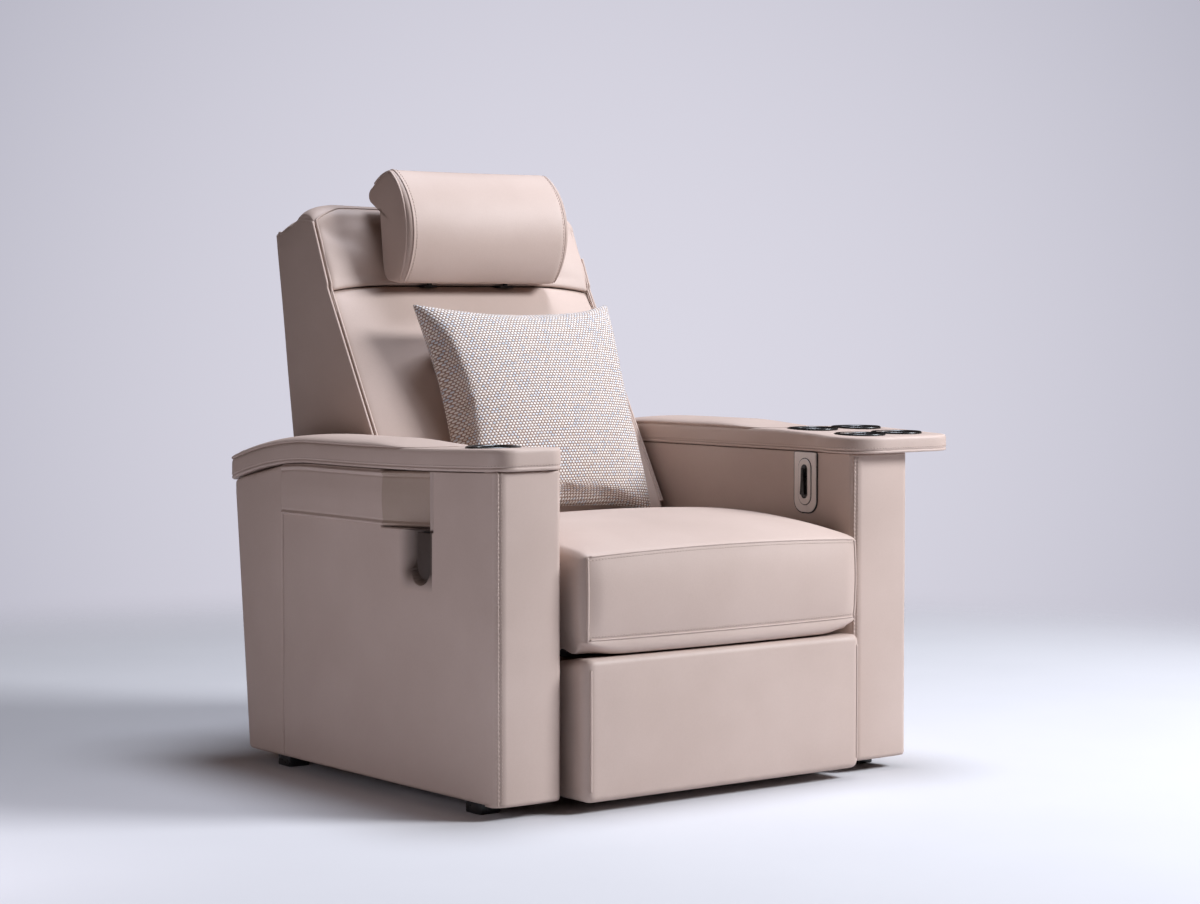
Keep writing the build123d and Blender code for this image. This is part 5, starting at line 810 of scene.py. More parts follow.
plate = moulding("control_plate_metal", [
    (rounded(0.100, 0.160, 0.481, 0.5925, (0.022, 0.022, 0.003, 0.003)), -0.0005, 0.0056, on_inner_face)], 0.0012)
wear(plate, champagne, "base", "champagne_metal", "control_plate")
bezel = moulding("control_bezel", [
    (rounded(0.1135, 0.1465, 0.4955, 0.5805, (0.0164,) * 4, 10), 0.0040, 0.0076, on_inner_face)], 0.0012)
wear(bezel, champagne, "base", "champagne_metal", "control_housing")
gasket = moulding("control_gasket", [
    (rounded(0.0976, 0.1624, 0.4786, 0.5930, (0.0244, 0.0244, 0.004, 0.004)), -0.0005, 0.0042, on_inner_face),
    (rounded(0.1120, 0.1480, 0.4940, 0.5820, (0.0179,) * 4, 10), 0.0046, 0.0062, on_inner_face),
    (rounded(0.1215, 0.1385, 0.5065, 0.5700, (0.0084,) * 4, 8), 0.0070, 0.0080, on_inner_face)], 0.0003)
wear(gasket, black, "base", "black_plastic")
lever_shape = [(0.130 + s * w, z) for s, w, z in
               [(-1, 0.0025, 0.5635), (-1, 0.0040, 0.539), (-1, 0.0055, 0.515), (-1, 0.0050, 0.5135),
                (1, 0.0050, 0.5135), (1, 0.0055, 0.515), (1, 0.0040, 0.539), (1, 0.0025, 0.5635),
                (1, 0.0012, 0.5645), (-1, 0.0012, 0.5645)]]


def rocking(a, b, c):
    """A place on the lever, whose underside rises towards both ends so that it can rock."""
    return on_inner_face(a, b, c + 0.095 * abs(b - 0.539) * (0.0140 - c) / 0.0054)


lever = moulding("control_lever_moulding", [(lever_shape[::-1], 0.0086, 0.0140, rocking)], 0.0016)
wear(lever, black, "control", "black_plastic", "control_lever")

# The release paddle: a flat flap in near-black leather, hung in the slot of the left arm's recess. Its colour
# and the black sheet behind it are painted shade for the inside of the slot.
brown = leather_of("recess_leather", (0.085, 0.062, 0.053), (0.062, 0.045, 0.038), 0.5)
paddle = moulding("release_paddle_moulding", [
    (rounded(0.2020, 0.2530, 0.393, 0.4745, (0.025, 0.025, 0.003, 0.003)), 0.451, 0.456,
     lambda a, b, c: at(-c, a, b))], 0.0015)
wear(paddle, brown, "release", "black_plastic", "release_paddle")
slot_shade_sheet = moulding("release_slot_shade_sheet", [
    (rounded(0.1975, 0.2595, 0.3875, 0.4745, (0.031, 0.031, 0.002, 0.002)), 0.4362, 0.4388,
     lambda a, b, c: at(-c, a, b))], 0.0003)
wear(slot_shade_sheet, black, "base", "black_plastic")

# The seat cushion: a foam box in a sewn cover. A top panel meets the front panel at a stitched seam that bows
# with the front edge, piped corners run down to a second seam, and a rolled lip tucks under below it.
SEAT_HALF, SEAT_TOP_SEAM, SEAT_LOW_SEAM = 0.311, 0.445, 0.302


def plump(piece, sewn, pressure, most, frames=20, stiff=12.0):
    """The filling presses the cover out between its seams: a cloth run, held where sewn(x, d, z) is 1,
    with no point moved further than most, then one subdivision. Without pressure the cover is left taut."""
    mesh = piece.data
    if pressure:
        rest = [v.co.copy() for v in mesh.vertices]
        group = piece.vertex_groups.new(name="sewn")
        for v in mesh.vertices:
            share = min(1.0, max(0.0, sewn(v.co.x - seat_middle, v.co.y - arm_plane, v.co.z + GLIDE_SINK)))
            group.add([v.index], share, 'REPLACE')
        cloth = piece.modifiers.new("filling", 'CLOTH')
        cloth.settings.quality = 5
        cloth.settings.mass = 0.3
        cloth.settings.tension_stiffness = stiff
        cloth.settings.compression_stiffness = stiff
        cloth.settings.shear_stiffness = stiff * 0.5
        cloth.settings.bending_stiffness = 0.6
        cloth.settings.vertex_group_mass = "sewn"
        cloth.settings.pin_stiffness = 1.0
        cloth.settings.use_pressure = True
        cloth.settings.uniform_pressure_force = pressure
        cloth.settings.effector_weights.gravity = 0.0
        for k in range(1, frames + 1):
            scene.frame_set(k)
        shown = piece.evaluated_get(bpy.context.evaluated_depsgraph_get())
        moved = [v.co.copy() for v in shown.data.vertices]
        piece.modifiers.remove(cloth)
        scene.frame_set(1)
        for v, was, now in zip(mesh.vertices, rest, moved):
            step = now - was
            if step.length > most:
                step *= most / step.length
            v.co = was + step
        piece.vertex_groups.remove(group)
    finer = piece.modifiers.new("finer", 'SUBSURF')
    finer.levels = finer.render_levels = 1
    shown = piece.evaluated_get(bpy.context.evaluated_depsgraph_get())
    smooth = bpy.data.meshes.new_from_object(shown)
    piece.modifiers.remove(finer)
    piece.data = smooth
    smooth.name = piece.name
    for face in smooth.polygons:
        face.use_smooth = True
    bpy.data.meshes.remove(mesh)


def edge_steps(half, coarse):
    """Stations across a cushion, close together near both ends."""
    near = (0.0, 0.0008, 0.0025, 0.005, 0.008, 0.012, 0.016, 0.021, 0.027, 0.034)
    inner = spaced((-half + 0.042, coarse), (half - 0.042, coarse))
    return [-half + e for e in near] + inner + [half - e for e in near[::-1]]


def on_cover(piece, points, lift):
    """Those points dropped to the nearest place on a piece's cover and lifted off it."""
    graph = bpy.context.evaluated_depsgraph_get()
    tree = BVHTree.FromObject(piece, graph)
    out = []
    for p in points:
        spot, normal, _, _ = tree.find_nearest(p)
        out.append(spot + normal * lift)
    return out


def seat_seam(x):
    """Height of the seat's upper front seam, bowed over the filling."""
    return SEAT_TOP_SEAM - 0.003 + 0.009 * (1 - (x / SEAT_HALF) ** 2)


def seat_front(x):
    """Depth of the seat's two front seams across its width, back at the rounded corners."""
    return -0.031 - 0.012 * (1 - (x / SEAT_HALF) ** 2) + rolled(SEAT_HALF - abs(x), 0.015)


def barrel(z):
    """Share by which the seat's sides stand out at a height: fuller between the seams, tucked in below."""
    full = math.sin(math.pi * min(1.0, max(0.0, (z - SEAT_LOW_SEAM) / 0.146)))
    return 0.016 * full - 0.020 * ease((0.308 - z) / 0.03)


rings = []
for x in edge_steps(SEAT_HALF, 0.011):
    e = SEAT_HALF - abs(x)
    seam_d, seam_z = seat_front(x), seat_seam(x) - rolled(e, 0.010)
    rise = 0.019 * max(0.0, 1 - e / 0.085) ** 2
    ring = [(d, 0.303) for d in spaced((0.066, 0.04), (0.490, 1))][::-1]
    ring += [(0.062, 0.290), (0.060, 0.270), (0.0585, 0.250), (0.0555, 0.250), (0.0545, 0.266), (0.050, 0.280)]
    ring += [(0.036, 0.284), (0.020, 0.2775), (0.004, 0.2742), (-0.010, 0.2732 + rise * 0.6)]
    ring += [(seam_d + 0.016, 0.2732 + rise), (seam_d + 0.007, 0.2755 + rise), (seam_d + 0.0008, 0.2815 + rise * 0.8),
             (seam_d - 0.0016, 0.2890 + rise * 0.5), (seam_d - 0.0004, 0.2965 + rise * 0.2)]
    for w in (0, 0.02, 0.05, 0.09, 0.15, 0.23, 0.32, 0.42, 0.52, 0.62, 0.71, 0.79, 0.86, 0.92, 0.96, 0.985):
        swell = 0.0085 * max(0.0, math.sin(math.pi * w)) ** 0.6 * ease(e / 0.04)
        ring.append((seam_d + 0.001 - swell, SEAT_LOW_SEAM + w * (seam_z - SEAT_LOW_SEAM)))
    for w in (0, 0.006, 0.016, 0.03, 0.048, 0.07, 0.10, 0.14, 0.18, 0.23, 0.28, 0.33, 0.39, 0.45, 0.51, 0.57, 0.63,
              0.69, 0.75, 0.81, 0.86, 0.91, 0.95, 0.98):
        full = 0.50 + 0.50 * math.sin(0.5 * math.pi * min(1.0, e / 0.08)) ** 0.7
        crown = 0.036 * max(0.0, math.sin(math.pi * w)) ** 0.55 * full
        ring.append((seam_d + w * (0.500 - seam_d), seam_z + 0.002 * w + crown))
    ring += [(0.502, seam_z - 0.001), (0.505, seam_z - 0.008),
             (0.505, 0.42), (0.505, 0.39), (0.505, 0.36), (0.505, 0.33),
             (0.503, 0.309), (0.499, 0.304)]
    ring = [(x * (1 + barrel(z) * (x / SEAT_HALF) ** 4), d, z) for d, z in ring]
    rings.append([at(*p) for p in ring])
seat = skinned("seat_cushion_cover", rings, inner=7)


def sewn(x, d, z):
    near_top = math.hypot(d - seat_front(x), z - seat_seam(x))
    near_low = math.hypot(d - seat_front(x), z - SEAT_LOW_SEAM)
    held = max(1.25 - near_top / 0.008, 1.25 - near_low / 0.008, (abs(x) - 0.285) / 0.02, (d - 0.44) / 0.04)
    return 1.0 if z < 0.312 else held


plump(seat, sewn, 3.0, 0.006)
wear(seat, leather, "base", "taupe_leather", "seat_cushion")
across_seat = spaced((-0.298, 0.004), (0.298, 1))
for height, below in ((seat_seam, -0.0065), (lambda x: SEAT_LOW_SEAM, 0.006)):
    line = on_cover(seat, [at(x, seat_front(x), height(x)) for x in across_seat], 0.0002)
    welts["base"].append((line, 0.0017, 0.0))
    seams["base"].append(on_cover(seat, [p + Vector((0, 0, below)) for p in line], 0.0004))
for side in (-1, 1):
    corner = side * (SEAT_HALF - 0.005)
    line = on_cover(seat, [at(corner, seat_front(corner) - 0.01, z) for z in spaced((0.303, 0.004), (0.442, 1))], 0.0)
    welts["base"].append((line, 0.0026, 0.0))

# The footrest: a padded panel with rounded corners that closes the front below the seat, screwed to a board.
FOOT_HALF, FOOT_FRONT, FOOT_BACK, FOOT_LOW, FOOT_TOP, FOOT_EDGE = 0.313, -0.041, 0.049, 0.027, 0.2708, 0.013
rings = []
for x in edge_steps(FOOT_HALF, 0.012):
    e = FOOT_HALF - abs(x)
    front, shrink = FOOT_FRONT + rolled(e, 0.020), rolled(e, 0.016)
    low_z, top_z = FOOT_LOW + shrink, FOOT_TOP - shrink
    swell = 0.004 * ease(e / 0.10)
    rim = [(FOOT_BACK, low_z + 0.004), (FOOT_BACK, (low_z + top_z) / 2), (FOOT_BACK, top_z - 0.012)]
    upper = [(FOOT_BACK - 0.004, top_z - 0.008), (FOOT_BACK - 0.02, top_z - 0.007), (0.004, top_z - 0.002)]
    corner = [(front + FOOT_EDGE * (1 - math.sin(math.radians(a))),
               top_z - FOOT_EDGE * (1 - math.cos(math.radians(a))))
              for a in range(0, 91, 10)]
    face = [(front - swell * math.sin(math.pi * k / 14), top_z - FOOT_EDGE + (low_z - top_z + 2 * FOOT_EDGE) * k / 14)
            for k in range(1, 14)]
    under = [(front + FOOT_EDGE * (1 - math.cos(math.radians(a))),
              low_z + FOOT_EDGE * (1 - math.sin(math.radians(a))))
             for a in range(0, 91, 10)]
    lower = [(0.004, low_z), (FOOT_BACK - 0.02, low_z), (FOOT_BACK - 0.004, low_z)]
    rings.append([at(x, d, z) for d, z in rim + upper + corner + face + under + lower])
footrest = skinned("footrest_pad_cover", rings, inner=5)
plump(footrest, None, 0.0, 0.0)
wear(footrest, leather, "footrest", "taupe_leather", "footrest_pad")
for side in (-1, 1):
    corner = side * (FOOT_HALF - 0.005)
    line = on_cover(footrest, [at(corner, FOOT_FRONT - 0.01, z) for z in spaced((0.046, 0.004), (0.252, 1))], 0.0)
    welts.setdefault("footrest", []).append((line, 0.0022, 0.0))

# The back: a tall lower cushion, a shorter upper one sewn to it under the headrest, boxed at both sides by
# flat panels with double piping along their front edges, and a plain stretched panel behind.
BACK_HALF, BACK_FOOT = 0.311, 0.372
BACK_LINE = ((0.372, 0.512), (0.473, 0.527), (0.898, 0.770), (0.906, 0.770), (1.044, 0.830), (1.059, 0.850))


def back_front(z):
    """Depth of the back's front edge line at a height."""
    for (z0, d0), (z1, d1) in zip(BACK_LINE, BACK_LINE[1:]):
        if z <= z1:
            return d0 + (d1 - d0) * (z - z0) / (z1 - z0)
    return BACK_LINE[-1][1]


def back_rear(z):
    return 0.869 + 0.151 * (z - 0.372)


def shoulder(x):
    """How far the back's top falls towards its rounded upper corners."""
    return 0.36 * rolled(BACK_HALF - abs(x), 0.075)


def sag(x, z):
    """How far the seam between the two cushions dips towards the sides."""
    return 0.013 * max(0.0, (abs(x) - 0.17) / 0.14) ** 2 * math.exp(-((z - 0.902) / 0.05) ** 2)


rings = []
for x in edge_steps(BACK_HALF - 0.002, 0.012):
    e = BACK_HALF - 0.002 - abs(x)
    tuck = rolled(e, 0.013)
    fullness = math.sin(0.5 * math.pi * min(1.0, e / 0.24))
    ring = []
    for z in spaced((0.376, 0.016), (0.470, 0.016), (0.880, 0.003), (0.9015, 1)):
        w = max(0.0, (z - 0.44) / (0.9015 - 0.44))
        crown = 0.044 * max(0.0, math.sin(math.pi * w)) ** (0.5 if w < 0.5 else 0.62) * fullness
        pull = 0.002 * ease((z - 0.895) / 0.0072)
        ring.append((back_front(z) + tuck - crown * 0.87 + pull, z + crown * 0.35 - sag(x, z)))
    behind = [(0.700 + 0.326 * (z - 0.372), z) for z in spaced((0.376, 0.06), (0.9015, 1))][::-1]
    rings.append([at(x, d, z) for d, z in ring + [(0.82, 0.9018)] + behind[1:] + [(0.61, 0.374)]])
lower_back = skinned("back_lower_cover", rings, inner=6)
plump(lower_back, lambda x, d, z: max((z - 0.870) / 0.018, (abs(x) - 0.288) / 0.018, (0.47 - z) / 0.03,
                                      (d - back_front(z) - 0.02) / 0.02), 3.6, 0.014)
wear(lower_back, leather, "backrest", "taupe_leather", "back_lower_cushion")

rings = []
for x in edge_steps(BACK_HALF - 0.002, 0.012):
    e = BACK_HALF - 0.002 - abs(x)
    tuck = rolled(e, 0.013)
    fall = shoulder(x)
    ring = []
    for z in spaced((0.9022, 0.003), (0.925, 0.012), (1.024, 1)):
        w = (z - 0.9022) / 0.1218
        crown = 0.008 * max(0.0, math.sin(math.pi * w)) ** 0.5
        lower_by = fall * ease((z - 0.93) / 0.094)
        ring.append((back_front(z) + tuck - crown + 0.002 * (1 - ease((z - 0.902) / 0.0072)),
                     z - lower_by - sag(x, z)))
    for a in range(10, 171, 16):
        t = math.radians(a)
        ring.append((0.853 - 0.032 * math.cos(t) + 0.010 * (a / 170), 1.030 + 0.030 * math.sin(t) - fall))
    ring += [(0.905, 1.0415 - fall), (0.935, 1.031 - fall), (0.957, 1.021 - fall), (0.964, 1.010 - fall)]
    ring += [(0.960, 0.975), (0.93, 0.94), (0.90, 0.9022)]
    rings.append([at(x, d, z) for d, z in ring])
upper_back = skinned("back_upper_cover", rings, inner=6)
plump(upper_back, lambda x, d, z: max((0.935 - z) / 0.018, (abs(x) - 0.288) / 0.018, (d - 0.88) / 0.03), 3.0, 0.008)
wear(upper_back, leather, "backrest", "taupe_leather", "back_upper_cushion")

side_rows = spaced((0.0, 0.012), (0.06, 0.03), (0.94, 0.006), (1.0, 1))
side_columns = spaced((0.0, 0.006), (0.05, 0.06), (0.92, 0.010), (1.0, 1))
boxings = []
for side in (-1, 1):

    def place(t, v, h, side=side):
        top = 1.028 + 0.006 * math.sin(math.pi * min(1.0, t * 1.6)) - 0.024 * ease((t - 0.25) / 0.75)
        z = BACK_FOOT + 0.004 + v * (top - BACK_FOOT - 0.004)
        front = back_front(z) + 0.006
        return at(side * (BACK_HALF - 0.012 + h), front + t * (back_rear(z) - front), z)

    def proud(t, v, side=side):
        depth = 0.16
        e = min(t * depth, (1 - t) * depth, v * 0.65, (1 - v) * 0.65)
        return 0.012 - rolled(e, 0.005) + 0.003 * ease(e / 0.05) + wander(t * 0.2, v * 0.6, side, 0.14, 0.0012)

    boxings.append(covered_board(f"back_side_{side}", side_columns, side_rows, place, proud, 0.0))
    top = 1.024 if side < 0 else 0.960
    edge = [at(side * (BACK_HALF + 0.0005), back_front(z) + 0.0045, z) for z in spaced((0.480, 0.003), (top, 1))]
    welts.setdefault("backrest", []).append((edge, 0.0026, 0.0))
    top = 0.99 if side < 0 else 0.95
    second = [at(side * (BACK_HALF - 0.0065), back_front(z) + 0.0012, z) for z in spaced((0.480, 0.003), (top, 1))]
    if side < 0:
        over = [at(-x, 0.822 + 0.016 * min(1.0, (BACK_HALF - x) / 0.06), 1.045 - shoulder(x))
                for x in spaced((0.15, 0.003), (0.3045, 1))]
        second += on_cover(upper_back, over[::-1], 0.0)
    welts["backrest"].append((second, 0.0022, 0.0))
both_sides = bmesh.new()
for made in boxings:
    both_sides.from_mesh(made.data)
side_mesh = bpy.data.meshes.new("back_side_covers")
both_sides.to_mesh(side_mesh)
both_sides.free()
for made in boxings:
    bpy.data.objects.remove(made)
for face in side_mesh.polygons:
    face.use_smooth = True
back_sides = bpy.data.objects.new("back_side_covers", side_mesh)
scene.collection.objects.link(back_sides)
wear(back_sides, leather, "backrest", "taupe_leather", "back_side_panels")


def place(x, z, h):
    return at(x, back_rear(z) - 0.014 + h, z)


def proud(x, z):
    e = min(0.309 - abs(x), z - 0.376, 1.008 - z)
    return 0.013 - rolled(e, 0.009) + 0.004 * ease(e / 0.12) + wander(x, z, 3, 0.15, 0.0015)


columns = spaced((-0.309, 0.0015), (-0.295, 0.02), (0.295, 0.0015), (0.309, 1))
rows = spaced((0.376, 0.0015), (0.390, 0.02), (0.994, 0.0015), (1.008, 1))
rear_cover = covered_board("back_rear_cover", columns, rows, place, proud, 0.0)
wear(rear_cover, leather, "backrest", "taupe_leather", "back_rear_panel")

# The headrest: a deep rolled pad that hooks over the top of the back, with flat end panels sewn on with
# double piping and a row of stitches.
HEAD_HALF = 0.188


def bowed(p, q, r, count):
    """Points on the circle through three points, without the last."""
    (x1, y1), (x2, y2), (x3, y3) = p, q, r
    k = 2 * (x1 * (y2 - y3) + x2 * (y3 - y1) + x3 * (y1 - y2))
    s1, s2, s3 = x1 * x1 + y1 * y1, x2 * x2 + y2 * y2, x3 * x3 + y3 * y3
    cx = (s1 * (y2 - y3) + s2 * (y3 - y1) + s3 * (y1 - y2)) / k
    cy = (s1 * (x3 - x2) + s2 * (x1 - x3) + s3 * (x2 - x1)) / k
    a1, a2, a3 = (math.atan2(y - cy, x - cx) for x, y in (p, q, r))
    turn = (a3 - a1) % (2 * math.pi)
    if (a2 - a1) % (2 * math.pi) > turn:
        turn -= 2 * math.pi
    size = math.hypot(x1 - cx, y1 - cy)
    return [(cx + size * math.cos(a1 + turn * i / count), cy + size * math.sin(a1 + turn * i / count))
            for i in range(count)]


def wider(x):
    """The headrest's right end is filled out further than its left."""
    return 0.008 * max(0.0, x / HEAD_HALF) ** 2


rings = []
for x in edge_steps(HEAD_HALF, 0.010):
    e = HEAD_HALF - abs(x)
    tuck = rolled(e, 0.012 if x < 0 else 0.024)
    low, nose, top = (0.716 + tuck, 0.908 + tuck), (0.679 + tuck, 1.012), (0.750, 1.1245 - tuck)
    ring = bowed(low, nose, top, 34) + bowed(top, (0.784, 1.1150 - tuck), (0.808, 1.0960 - tuck * 0.6), 8)
    ring += bowed((0.808, 1.0960 - tuck * 0.6), (0.8200, 1.0790), (0.812, 1.0630), 8)
    ring += [(0.812, 1.0630), (0.804, 1.0590), (0.794, 1.0575), (0.785, 1.0560), (0.781, 1.050), (0.779, 1.03),
             (0.776, 1.00), (0.773, 0.97), (0.770, 0.942)]
    ring += bowed((0.767, 0.930), (0.745, 0.9115), low, 8)
    rings.append([at(x + wider(x), d, z) for d, z in ring])
headrest = skinned("headrest_cover", rings, inner=6)
plump(headrest, lambda x, d, z: max((abs(x) - 0.166) / 0.016, (d - 0.77) / 0.02, (0.925 - z) / 0.01), 2.5, 0.005)
wear(headrest, leather, "headrest", "taupe_leather", "headrest_pad")
profile = bowed((0.716, 0.908), (0.679, 1.012), (0.750, 1.1245), 90)
profile += bowed((0.750, 1.1245), (0.784, 1.1150), (0.808, 1.0960), 20)
for side in (-1, 1):
    for inset, radius in ((0.0015, 0.0024), (0.0115, 0.0020)):
        pulled = 0.008 if inset < 0.01 else 0.001
        line = [at(side * (HEAD_HALF - inset) + wider(side * HEAD_HALF), d + pulled * (0.76 - d) / 0.06, z)
                for d, z in profile]
        welts.setdefault("headrest", []).append((on_cover(headrest, line, 0.0), radius, 0.0))
    line = [at(side * (HEAD_HALF - 0.018) + wider(side * HEAD_HALF), d, z) for d, z in profile]
    seams.setdefault("headrest", []).append(on_cover(headrest, line, 0.0004))

# The throw pillow: two squares of loose basket weave, ivory, pale blue and brown yarn, sewn edge to edge round
# a soft filling. It stands on the seat and leans on the back.
PILLOW_HALF, PILLOW_RISE = 0.241, 0.227
pillow_middle = at(0.020, 0.5652, 0.66290)
lean = math.radians(20)
pillow_up = Vector((0, math.sin(lean), math.cos(lean)))
pillow_out = Vector((0, -math.cos(lean), math.sin(lean)))
count = 56
points, faces = [], []
index = {}
for layer in (1, -1):
    for j in range(count + 1):
        for i in range(count + 1):
            if layer < 0 and (i in (0, count) or j in (0, count)):
                index[layer, i, j] = index[1, i, j]
                continue
            u, v = 2 * i / count - 1, 2 * j / count - 1
            full = ((1 - u * u) * (1 - v * v)) ** 0.5
            thick = layer * (0.072 if layer > 0 else 0.036) * full
            pull = 1 - 0.060 * (1 - v * v) * u * u
            rise = 1 - 0.060 * (1 - u * u) * v * v
            index[layer, i, j] = len(points)
            points.append(pillow_middle + Vector((1, 0, 0)) * (PILLOW_HALF * u * pull)
                          + pillow_up * (PILLOW_RISE * v * rise) + pillow_out * thick)
for layer in (1, -1):
    for j in range(count):
        for i in range(count):
            quad = [index[layer, i, j], index[layer, i + 1, j], index[layer, i + 1, j + 1], index[layer, i, j + 1]]
            faces.append(quad if layer > 0 else quad[::-1])
mesh = bpy.data.meshes.new("throw_pillow_cover")
mesh.from_pydata([tuple(p) for p in points], [], faces)
flat = mesh.uv_layers.new(name="weave")
for face in mesh.polygons:
    for loop in face.loop_indices:
        p = mesh.vertices[mesh.loops[loop].vertex_index].co - pillow_middle
        flat.data[loop].uv = (p.x / (2 * PILLOW_HALF) + 0.5, p.dot(pillow_up) / (2 * PILLOW_RISE) + 0.5)
pillow = bpy.data.objects.new("throw_pillow_cover", mesh)
scene.collection.objects.link(pillow)
plump(pillow, lambda x, d, z: 0.0, 3.2, 0.020, frames=16, stiff=20.0)

woven, tree = blank("woven_fabric")
cloth_uv = add(tree, 'ShaderNodeUVMap', uv_map="weave").outputs['UV']
threads = add(tree, 'ShaderNodeVectorMath', {0: cloth_uv, 1: (70.0, 88.0, 1.0)}, operation='MULTIPLY')
part = add(tree, 'ShaderNodeSeparateXYZ', {0: threads.outputs[0]})
row = add(tree, 'ShaderNodeMath', {0: part.outputs['Y']}, operation='FLOOR')
odd = add(tree, 'ShaderNodeMath', {0: row.outputs[0], 1: 2.0}, operation='FLOORED_MODULO')
half_step = add(tree, 'ShaderNodeMath', {0: odd.outputs[0], 1: 0.5}, operation='MULTIPLY')
shifted = add(tree, 'ShaderNodeMath', {0: part.outputs['X'], 1: half_step.outputs[0]}, operation='ADD')
column = add(tree, 'ShaderNodeMath', {0: shifted.outputs[0]}, operation='FLOOR')
along = add(tree, 'ShaderNodeMath', {0: shifted.outputs[0]}, operation='FRACT')
aside = add(tree, 'ShaderNodeMath', {0: part.outputs['Y']}, operation='FRACT')
along_off = add(tree, 'ShaderNodeMath', {0: along.outputs[0], 1: 0.5}, operation='SUBTRACT')
aside_off = add(tree, 'ShaderNodeMath', {0: aside.outputs[0], 1: 0.5}, operation='SUBTRACT')
along_sq = add(tree, 'ShaderNodeMath', {0: along_off.outputs[0], 1: 2.0}, operation='POWER')
aside_sq = add(tree, 'ShaderNodeMath', {0: aside_off.outputs[0], 1: 2.0}, operation='POWER')
along_part = add(tree, 'ShaderNodeMath', {0: along_sq.outputs[0], 1: 4.6}, operation='MULTIPLY')
aside_part = add(tree, 'ShaderNodeMath', {0: aside_sq.outputs[0], 1: 3.9}, operation='MULTIPLY')
knot = add(tree, 'ShaderNodeMath', {0: along_part.outputs[0], 1: aside_part.outputs[0]}, operation='ADD')
swell = add(tree, 'ShaderNodeMapRange', {'Value': knot.outputs[0], 'From Min': 0.0, 'From Max': 1.0, 'To Min': 1.0,
                                         'To Max': 0.0})
cell = add(tree, 'ShaderNodeCombineXYZ', {0: column.outputs[0], 1: row.outputs[0]})
lot = add(tree, 'ShaderNodeTexWhiteNoise', {'Vector': cell.outputs[0]}, noise_dimensions='3D')
yarns = add(tree, 'ShaderNodeValToRGB', {'Fac': lot.outputs['Value']})
yarns.color_ramp.interpolation = 'CONSTANT'
yarns.color_ramp.elements[0].color = (0.86, 0.82, 0.79, 1)
yarns.color_ramp.elements[1].position = 0.52
yarns.color_ramp.elements[1].color = (0.72, 0.75, 0.80, 1)
for position, colour in ((0.74, (0.85, 0.79, 0.74, 1)), (0.92, (0.62, 0.68, 0.75, 1)), (0.97, (0.76, 0.68, 0.62, 1))):
    yarns.color_ramp.elements.new(position).color = colour
fuzz = add(tree, 'ShaderNodeTexNoise', {'Vector': threads.outputs[0], 'Scale': 5.0, 'Detail': 4.0})
ground = ramp(tree, fuzz.outputs['Fac'], (0.260, 0.165, 0.125), (0.400, 0.280, 0.225))
cover = add(tree, 'ShaderNodeMapRange', {'Value': knot.outputs[0], 'From Min': 0.50, 'From Max': 0.84, 'To Min': 1.0,
                                         'To Max': 0.0})
cloth_colour = add(tree, 'ShaderNodeMixRGB', {0: cover.outputs['Result'], 1: ground.outputs['Color'],
                                              2: yarns.outputs['Color']})
fray = add(tree, 'ShaderNodeMath', {0: fuzz.outputs['Fac'], 1: 0.35}, operation='MULTIPLY')
relief = add(tree, 'ShaderNodeMath', {0: swell.outputs['Result'], 1: fray.outputs[0]}, operation='ADD')
cloth_bump = add(tree, 'ShaderNodeBump', {'Height': relief.outputs[0], 'Strength': 0.9, 'Distance': 0.0016})
fabric = add(tree, 'ShaderNodeBsdfPrincipled', {'Base Color': cloth_colour.outputs['Color'], 'Roughness': 0.85,
                                                'Specular IOR Level': 0.2, 'Sheen Weight': 0.25,
                                                'Normal': cloth_bump.outputs['Normal']})
add(tree, 'ShaderNodeOutputMaterial', {'Surface': fabric.outputs[0]})
wear(pillow, woven, "backrest", "woven_fabric", "throw_pillow")

# The welts: narrow leather cords sewn into the seams, gathered into small puckers on the arms' front edges.


def corded(points, radius, pucker, turns=8):
    """Points and faces of a cord along a line; pucker is the spacing of its gathers, 0 for none."""
    out, faces = [], []
    side = None
    run = 0.0
    for k, p in enumerate(points):
        along = (points[min(k + 1, len(points) - 1)] - points[max(k - 1, 0)]).normalized()
        if side is None:
            side = along.orthogonal().normalized()
        side = (side - along * side.dot(along)).normalized()
        over = along.cross(side)
        run += (p - points[max(k - 1, 0)]).length
        size = radius * (1 + (0.30 * math.sin(2 * math.pi * run / pucker) if pucker else 0.0))
        for j in range(turns):
            a = 2 * math.pi * j / turns
            out.append(p + side * (size * math.cos(a)) + over * (size * math.sin(a)))
    rows = len(points)
    for k in range(rows - 1):
        for j in range(turns):
            b = (j + 1) % turns
            faces.append((k * turns + j, k * turns + b, (k + 1) * turns + b, (k + 1) * turns + j))
    faces += [tuple(range(turns)), tuple(range((rows - 1) * turns, rows * turns))]
    return out, faces


for body, lines in welts.items():
    points, faces = [], []
    for line, radius, pucker in lines:
        more, sides = corded(line, radius, pucker)
        faces += [tuple(len(points) + k for k in face) for face in sides]
        points += more
    cords = made_up(f"{body}_welts", points, faces)
    wear(cords, leather, body, "taupe_leather")

# The stitching: pale taupe thread, a few millimetres to a stitch, beside the seams that are sewn from outside.
thread, tree = blank("taupe_thread")
spot = add(tree, 'ShaderNodeTexCoord').outputs['Object']
ply = add(tree, 'ShaderNodeTexNoise', {'Vector': spot, 'Scale': 1500.0, 'Detail': 2.0})
dyed = ramp(tree, ply.outputs['Fac'], (0.40, 0.30, 0.25), (0.60, 0.49, 0.43))
ply_bump = add(tree, 'ShaderNodeBump', {'Height': ply.outputs['Fac'], 'Strength': 0.4, 'Distance': 0.0003})
spun = add(tree, 'ShaderNodeBsdfPrincipled', {'Base Color': dyed.outputs['Color'], 'Roughness': 0.6,
                                              'Normal': ply_bump.outputs['Normal']})
add(tree, 'ShaderNodeOutputMaterial', {'Surface': spun.outputs[0]})

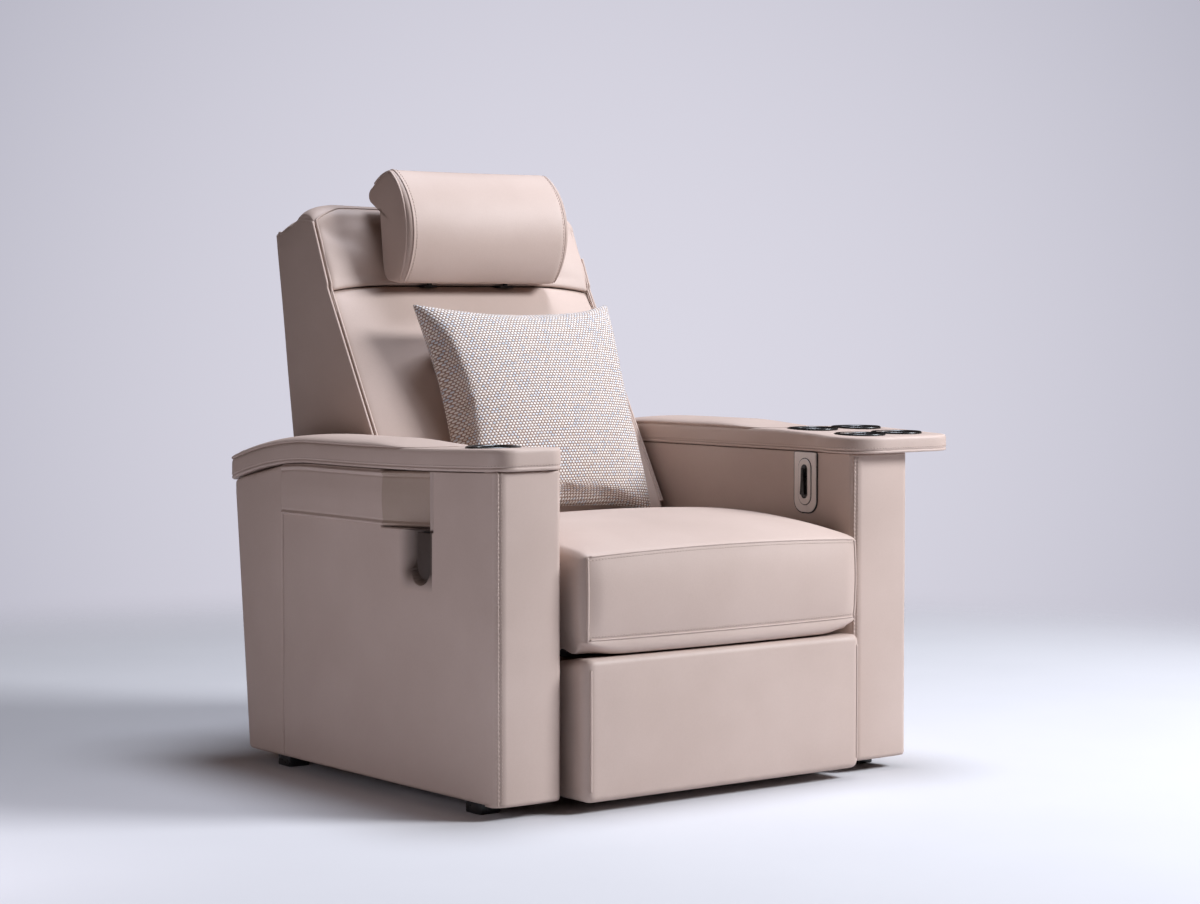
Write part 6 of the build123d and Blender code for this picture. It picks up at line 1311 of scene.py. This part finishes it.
stitch_row = bpy.data.node_groups.new("stitch_row", 'GeometryNodeTree')
stitch_row.interface.new_socket("Line", in_out='INPUT', socket_type='NodeSocketGeometry')
inputs = {}
for name, value in (("Pitch", 0.0062), ("Length", 0.0044), ("Thread", 0.0007)):
    inputs[name] = stitch_row.interface.new_socket(name, in_out='INPUT', socket_type='NodeSocketFloat')
    inputs[name].default_value = value
inputs["Material"] = stitch_row.interface.new_socket("Material", in_out='INPUT', socket_type='NodeSocketMaterial')
stitch_row.interface.new_socket("Stitches", in_out='OUTPUT', socket_type='NodeSocketGeometry')
given = stitch_row.nodes.new('NodeGroupInput')
as_curve = add(stitch_row, 'GeometryNodeMeshToCurve', {'Mesh': given.outputs['Line']})
evenly = add(stitch_row, 'GeometryNodeResampleCurve', {'Curve': as_curve.outputs['Curve'],
                                                       'Length': given.outputs['Pitch']}, mode='LENGTH')
bead = add(stitch_row, 'GeometryNodeMeshUVSphere', {'Segments': 6, 'Rings': 4, 'Radius': 1.0})
half_long = add(stitch_row, 'ShaderNodeMath', {0: given.outputs['Length'], 1: 0.5}, operation='MULTIPLY')
shape = add(stitch_row, 'ShaderNodeCombineXYZ', {0: given.outputs['Thread'], 1: given.outputs['Thread'],
                                                 2: half_long.outputs[0]})
stitch = add(stitch_row, 'GeometryNodeTransform', {'Geometry': bead.outputs['Mesh'], 'Scale': shape.outputs[0]})
tangent = add(stitch_row, 'GeometryNodeInputTangent')
turn = add(stitch_row, 'FunctionNodeAlignRotationToVector', {'Vector': tangent.outputs[0]}, axis='Z')
placed = add(stitch_row, 'GeometryNodeInstanceOnPoints', {'Points': evenly.outputs['Curve'],
                                                          'Instance': stitch.outputs['Geometry'],
                                                          'Rotation': turn.outputs['Rotation']})
real = add(stitch_row, 'GeometryNodeRealizeInstances', {'Geometry': placed.outputs['Instances']})
dyed_row = add(stitch_row, 'GeometryNodeSetMaterial', {'Geometry': real.outputs['Geometry'],
                                                       'Material': given.outputs['Material']})
add(stitch_row, 'NodeGroupOutput', {'Stitches': dyed_row.outputs['Geometry']})

for body, lines in seams.items():
    points, edges = [], []
    for line in lines:
        edges += [(len(points) + k, len(points) + k + 1) for k in range(len(line) - 1)]
        points += [tuple(p) for p in line]
    path = bpy.data.meshes.new(f"{body}_seam_lines")
    path.from_pydata(points, edges, [])
    guide = bpy.data.objects.new(f"{body}_seam_lines", path)
    scene.collection.objects.link(guide)
    sewing = guide.modifiers.new("sewing", 'NODES')
    sewing.node_group = stitch_row
    sewing[inputs["Material"].identifier] = thread
    shown = guide.evaluated_get(bpy.context.evaluated_depsgraph_get())
    stitches = bpy.data.meshes.new_from_object(shown)
    bpy.data.objects.remove(guide)
    for face in stitches.polygons:
        face.use_smooth = True
    row_piece = bpy.data.objects.new(f"{body}_stitches", stitches)
    scene.collection.objects.link(row_piece)
    if not stitches.materials:
        stitches.materials.append(thread)
    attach(row_piece, body)
